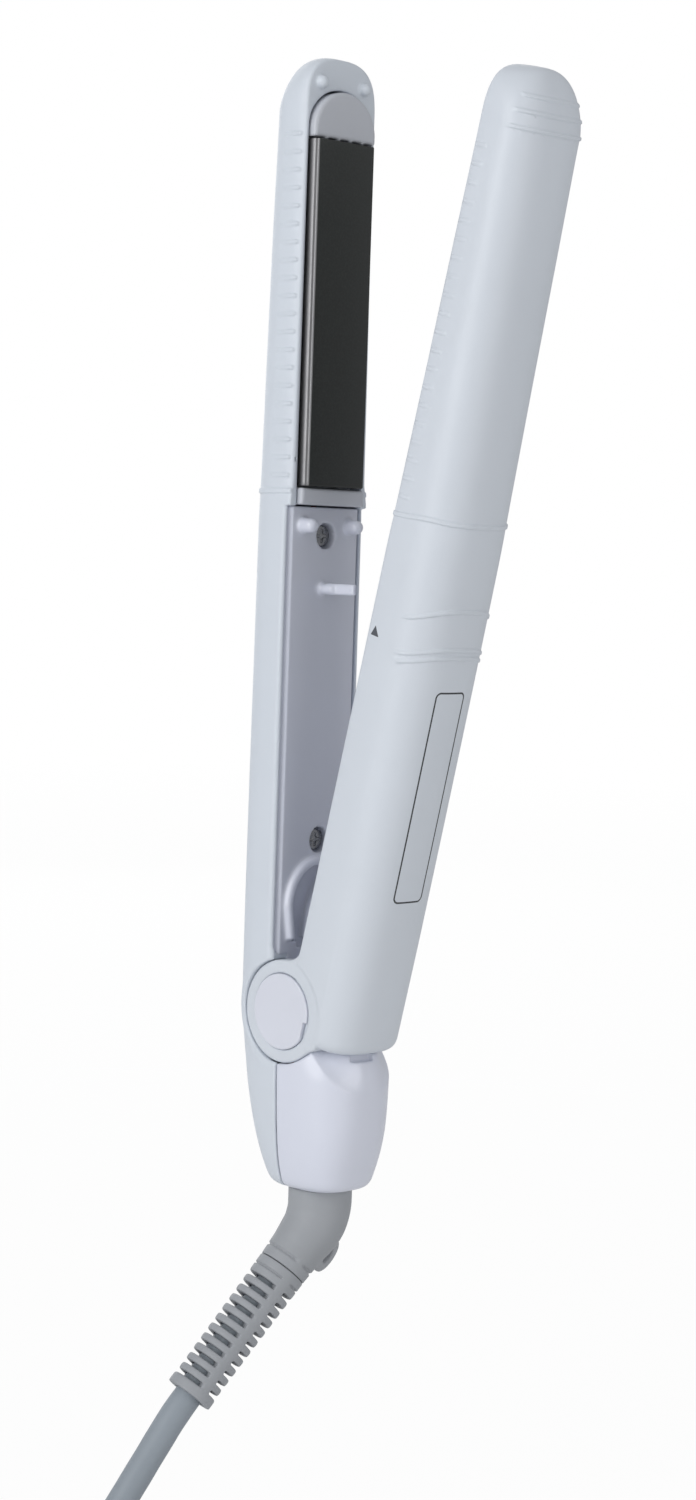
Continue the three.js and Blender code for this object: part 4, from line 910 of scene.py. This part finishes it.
def cord_jacket():
    """Round cable, very slightly uneven, with its two cores' holes open at both ends."""
    seg = 48
    total = BEND_R * BEND + CORD_OUT
    ts = np.concatenate([np.linspace(-7.9, 0, 6), np.linspace(0.4, total, 150)])
    rings, bores = [], {-1: [], 1: []}
    for t in ts:
        c, d = cord_point(t)
        n = np.cross(bn_v, d)
        wob = 0.012 * math.sin(t * 0.9) + 0.010 * math.sin(t * 0.37 + 1.0)
        a = np.arange(seg) * 2 * math.pi / seg
        rr = 2.89 + wob + 0.0 * a
        rings.append(c + n[None] * (rr * np.cos(a))[:, None] + bn_v[None] * (rr * np.sin(a))[:, None])
        for s in (-1, 1):
            b = np.arange(20) * 2 * math.pi / 20
            bores[s].append(c + bn_v * 1.25 * s + n[None] * (0.84 * np.cos(b))[:, None] + bn_v[None] * (0.84 * np.sin(b))[:, None])
    bm = bmesh.new()
    loops = {}
    for key, rs in (("o", rings), (-1, bores[-1]), (1, bores[1])):
        vs = [[bm.verts.new(tuple(p)) for p in to_frame(r + np.array([CORD_X, 0, 0]))] for r in rs]
        k = len(vs[0])
        for i in range(len(vs) - 1):
            for j in range(k):
                bm.faces.new((vs[i][j], vs[i][(j + 1) % k], vs[i + 1][(j + 1) % k], vs[i + 1][j]))
        loops[key] = vs
    for end in (0, -1):
        edges = []
        for vs in loops.values():
            ring = vs[end]
            for j in range(len(ring)):
                edges.append(bm.edges.get((ring[j], ring[(j + 1) % len(ring)])))
        bmesh.ops.triangle_fill(bm, edges=edges, use_beauty=True)
    bmesh.ops.recalc_face_normals(bm, faces=bm.faces)
    me = bpy.data.meshes.new("power_cord_jacket")
    bm.to_mesh(me)
    bm.free()
    me.shade_smooth()
    me.set_sharp_from_angle(angle=math.radians(50))
    ob = bpy.data.objects.new("power_cord_jacket", me)
    bpy.context.scene.collection.objects.link(ob)
    return ob


o = cord_jacket()
o.data.materials.append(M["cord"])
settle(o, "cord", ["power_cord"])

# ------------------------------------------------------------------ carried-over CAD nodes
FINISH = {
    "main_heater_element": "ceramic", "swing_heater_element": "ceramic", "main_element_clamp": "alu", "swing_element_clamp": "alu",
    "main_plate_pad_upper": "silicone", "main_plate_pad_lower": "silicone", "swing_plate_pad_upper": "silicone", "swing_plate_pad_lower": "silicone",
    "hinge_pin": "steel", "hinge_retaining_clip": "steel", "hinge_spring": "steel", "control_board": "board", "switch_body": "dark", "switch_knob": "knob",
    "indicator_light_guide": "lens", "thermal_fuse": "alu", "main_heater_lead_live": "red", "main_heater_lead_neutral": "blue", "swing_heater_lead_live": "red",
    "swing_heater_lead_neutral": "blue", "mains_lead_live": "red", "mains_lead_neutral": "blue", "swivel_retainer": "dark",
    "cord_conductor_live": "copper", "cord_conductor_neutral": "copper",
}
for n, key in FINISH.items():
    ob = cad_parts[n]
    ob.data.materials.clear()
    ob.data.materials.append(M[key])
    if n in ("switch_knob", "switch_body", "control_board", "main_plate_pad_upper", "main_plate_pad_lower", "swing_plate_pad_upper", "swing_plate_pad_lower", "main_heater_element", "swing_heater_element"):
        bev = ob.modifiers.new("edge", "BEVEL")
        bev.width, bev.segments, bev.limit_method, bev.angle_limit = 0.00012, 2, "ANGLE", math.radians(35)
        bev.use_clamp_overlap = True

# ------------------------------------------------------------------ stage, light, camera
lo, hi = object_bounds()
floor_z = lo.z - 0.004
me = bpy.data.meshes.new("floor")
bm = bmesh.new()
bmesh.ops.create_circle(bm, cap_ends=True, radius=6.0, segments=96)
bm.to_mesh(me)
bm.free()
floor = bpy.data.objects.new("floor", me)
floor.location = (0, 0, floor_z)
bpy.context.scene.collection.objects.link(floor)
m, nt, b, tc = tree("pale_floor")
geo = nt.nodes.new("ShaderNodeNewGeometry")
length = nt.nodes.new("ShaderNodeVectorMath")
length.operation = "LENGTH"
nt.links.new(geo.outputs["Position"], length.inputs[0])
path = nt.nodes.new("ShaderNodeLightPath")
soft = noise(nt, tc.outputs["Object"], 3.0, 2)
nt.links.new(mix(nt, soft, (0.82, 0.82, 0.82), (0.86, 0.86, 0.86)), b.inputs["Base Color"])
b.inputs["Roughness"].default_value = 0.9
b.inputs["Specular IOR Level"].default_value = 0.1
glow = nt.nodes.new("ShaderNodeEmission")
glow.inputs[0].default_value = (1, 1, 1, 1)
glow.inputs[1].default_value = 1.0
seen = nt.nodes.new("ShaderNodeMixShader")
nt.links.new(math_node(nt, "MULTIPLY", path.outputs["Is Camera Ray"], 0.95), seen.inputs[0])
nt.links.new(b.outputs[0], seen.inputs[1])
nt.links.new(glow.outputs[0], seen.inputs[2])
clear = nt.nodes.new("ShaderNodeBsdfTransparent")
fade = nt.nodes.new("ShaderNodeMixShader")
nt.links.new(math_node(nt, "MULTIPLY", ramp(nt, length.outputs["Value"], 0.35, 2.2, 0, 1), path.outputs["Is Camera Ray"]), fade.inputs[0])
nt.links.new(seen.outputs[0], fade.inputs[1])
nt.links.new(clear.outputs[0], fade.inputs[2])
nt.links.new(fade.outputs[0], [n for n in nt.nodes if n.type == "OUTPUT_MATERIAL"][0].inputs[0])
floor.data.materials.append(m)

scene = bpy.context.scene
world = bpy.data.worlds.new("studio")
scene.world = world
world.use_nodes = True
wt = world.node_tree
wt.nodes.clear()
wo = wt.nodes.new("ShaderNodeOutputWorld")
seen_w = wt.nodes.new("ShaderNodeBackground")
seen_w.inputs[0].default_value = (1, 1, 1, 1)
seen_w.inputs[1].default_value = 1.0
lit_w = wt.nodes.new("ShaderNodeBackground")
lit_w.inputs[0].default_value = (0.97, 0.985, 1, 1)
lit_w.inputs[1].default_value = 0.455
lp = wt.nodes.new("ShaderNodeLightPath")
mw = wt.nodes.new("ShaderNodeMixShader")
wt.links.new(lp.outputs["Is Camera Ray"], mw.inputs[0])
wt.links.new(lit_w.outputs[0], mw.inputs[1])
wt.links.new(seen_w.outputs[0], mw.inputs[2])
wt.links.new(mw.outputs[0], wo.inputs[0])

R_v = Vector((0.7077103, 0.7057074, 0.0335143))
U_v = Vector((-0.0707046, 0.0235469, 0.9972193))
D_v = Vector((0.7029559, -0.708112, 0.0665611))
centre = (cad_lo + cad_hi) / 2


def area(name, place, size, size_y, power, colour=(1, 1, 1)):
    l = bpy.data.lights.new(name, "AREA")
    l.shape, l.size, l.size_y, l.energy, l.color = "RECTANGLE", size, size_y, power, colour
    ob = bpy.data.objects.new(name, l)
    ob.location = centre + place
    ob.rotation_mode = "QUATERNION"
    ob.rotation_quaternion = (-place).to_track_quat("-Z", "Y")
    scene.collection.objects.link(ob)
    return ob


area("key_soft", R_v * -0.8 + D_v * 0.85 + U_v * 0.3, 0.7, 1.2, 8.6, (1.0, 0.998, 0.992))
area("fill_soft", R_v * 0.9 + D_v * 0.9 + U_v * 0.1, 0.8, 1.2, 4.2, (1.0, 0.985, 0.965))
area("top_soft", U_v * 1.1 + D_v * 0.1, 0.9, 0.9, 0.2)
area("back_soft", R_v * -0.3 - D_v * 1.0 + U_v * 0.5, 1.0, 1.0, 3.5)

cam_data = bpy.data.cameras.new("camera")
cam_data.sensor_width = 36.0
cam_data.lens = 2883.3545 * 36.0 / 1500.0
cam_data.clip_start, cam_data.clip_end = 0.01, 50
cam = bpy.data.objects.new("camera", cam_data)
scene.collection.objects.link(cam)
cam.matrix_world = Matrix(((R_v.x, U_v.x, D_v.x, 0.4075552), (R_v.y, U_v.y, D_v.y, -0.4048235 + CAP_Y / 1000), (R_v.z, U_v.z, D_v.z, 0.0901849), (0, 0, 0, 1)))
scene.camera = cam
scene.view_settings.view_transform = "Standard"
scene.view_settings.look = "None"
scene.view_settings.exposure = 0
scene.view_settings.gamma = 1
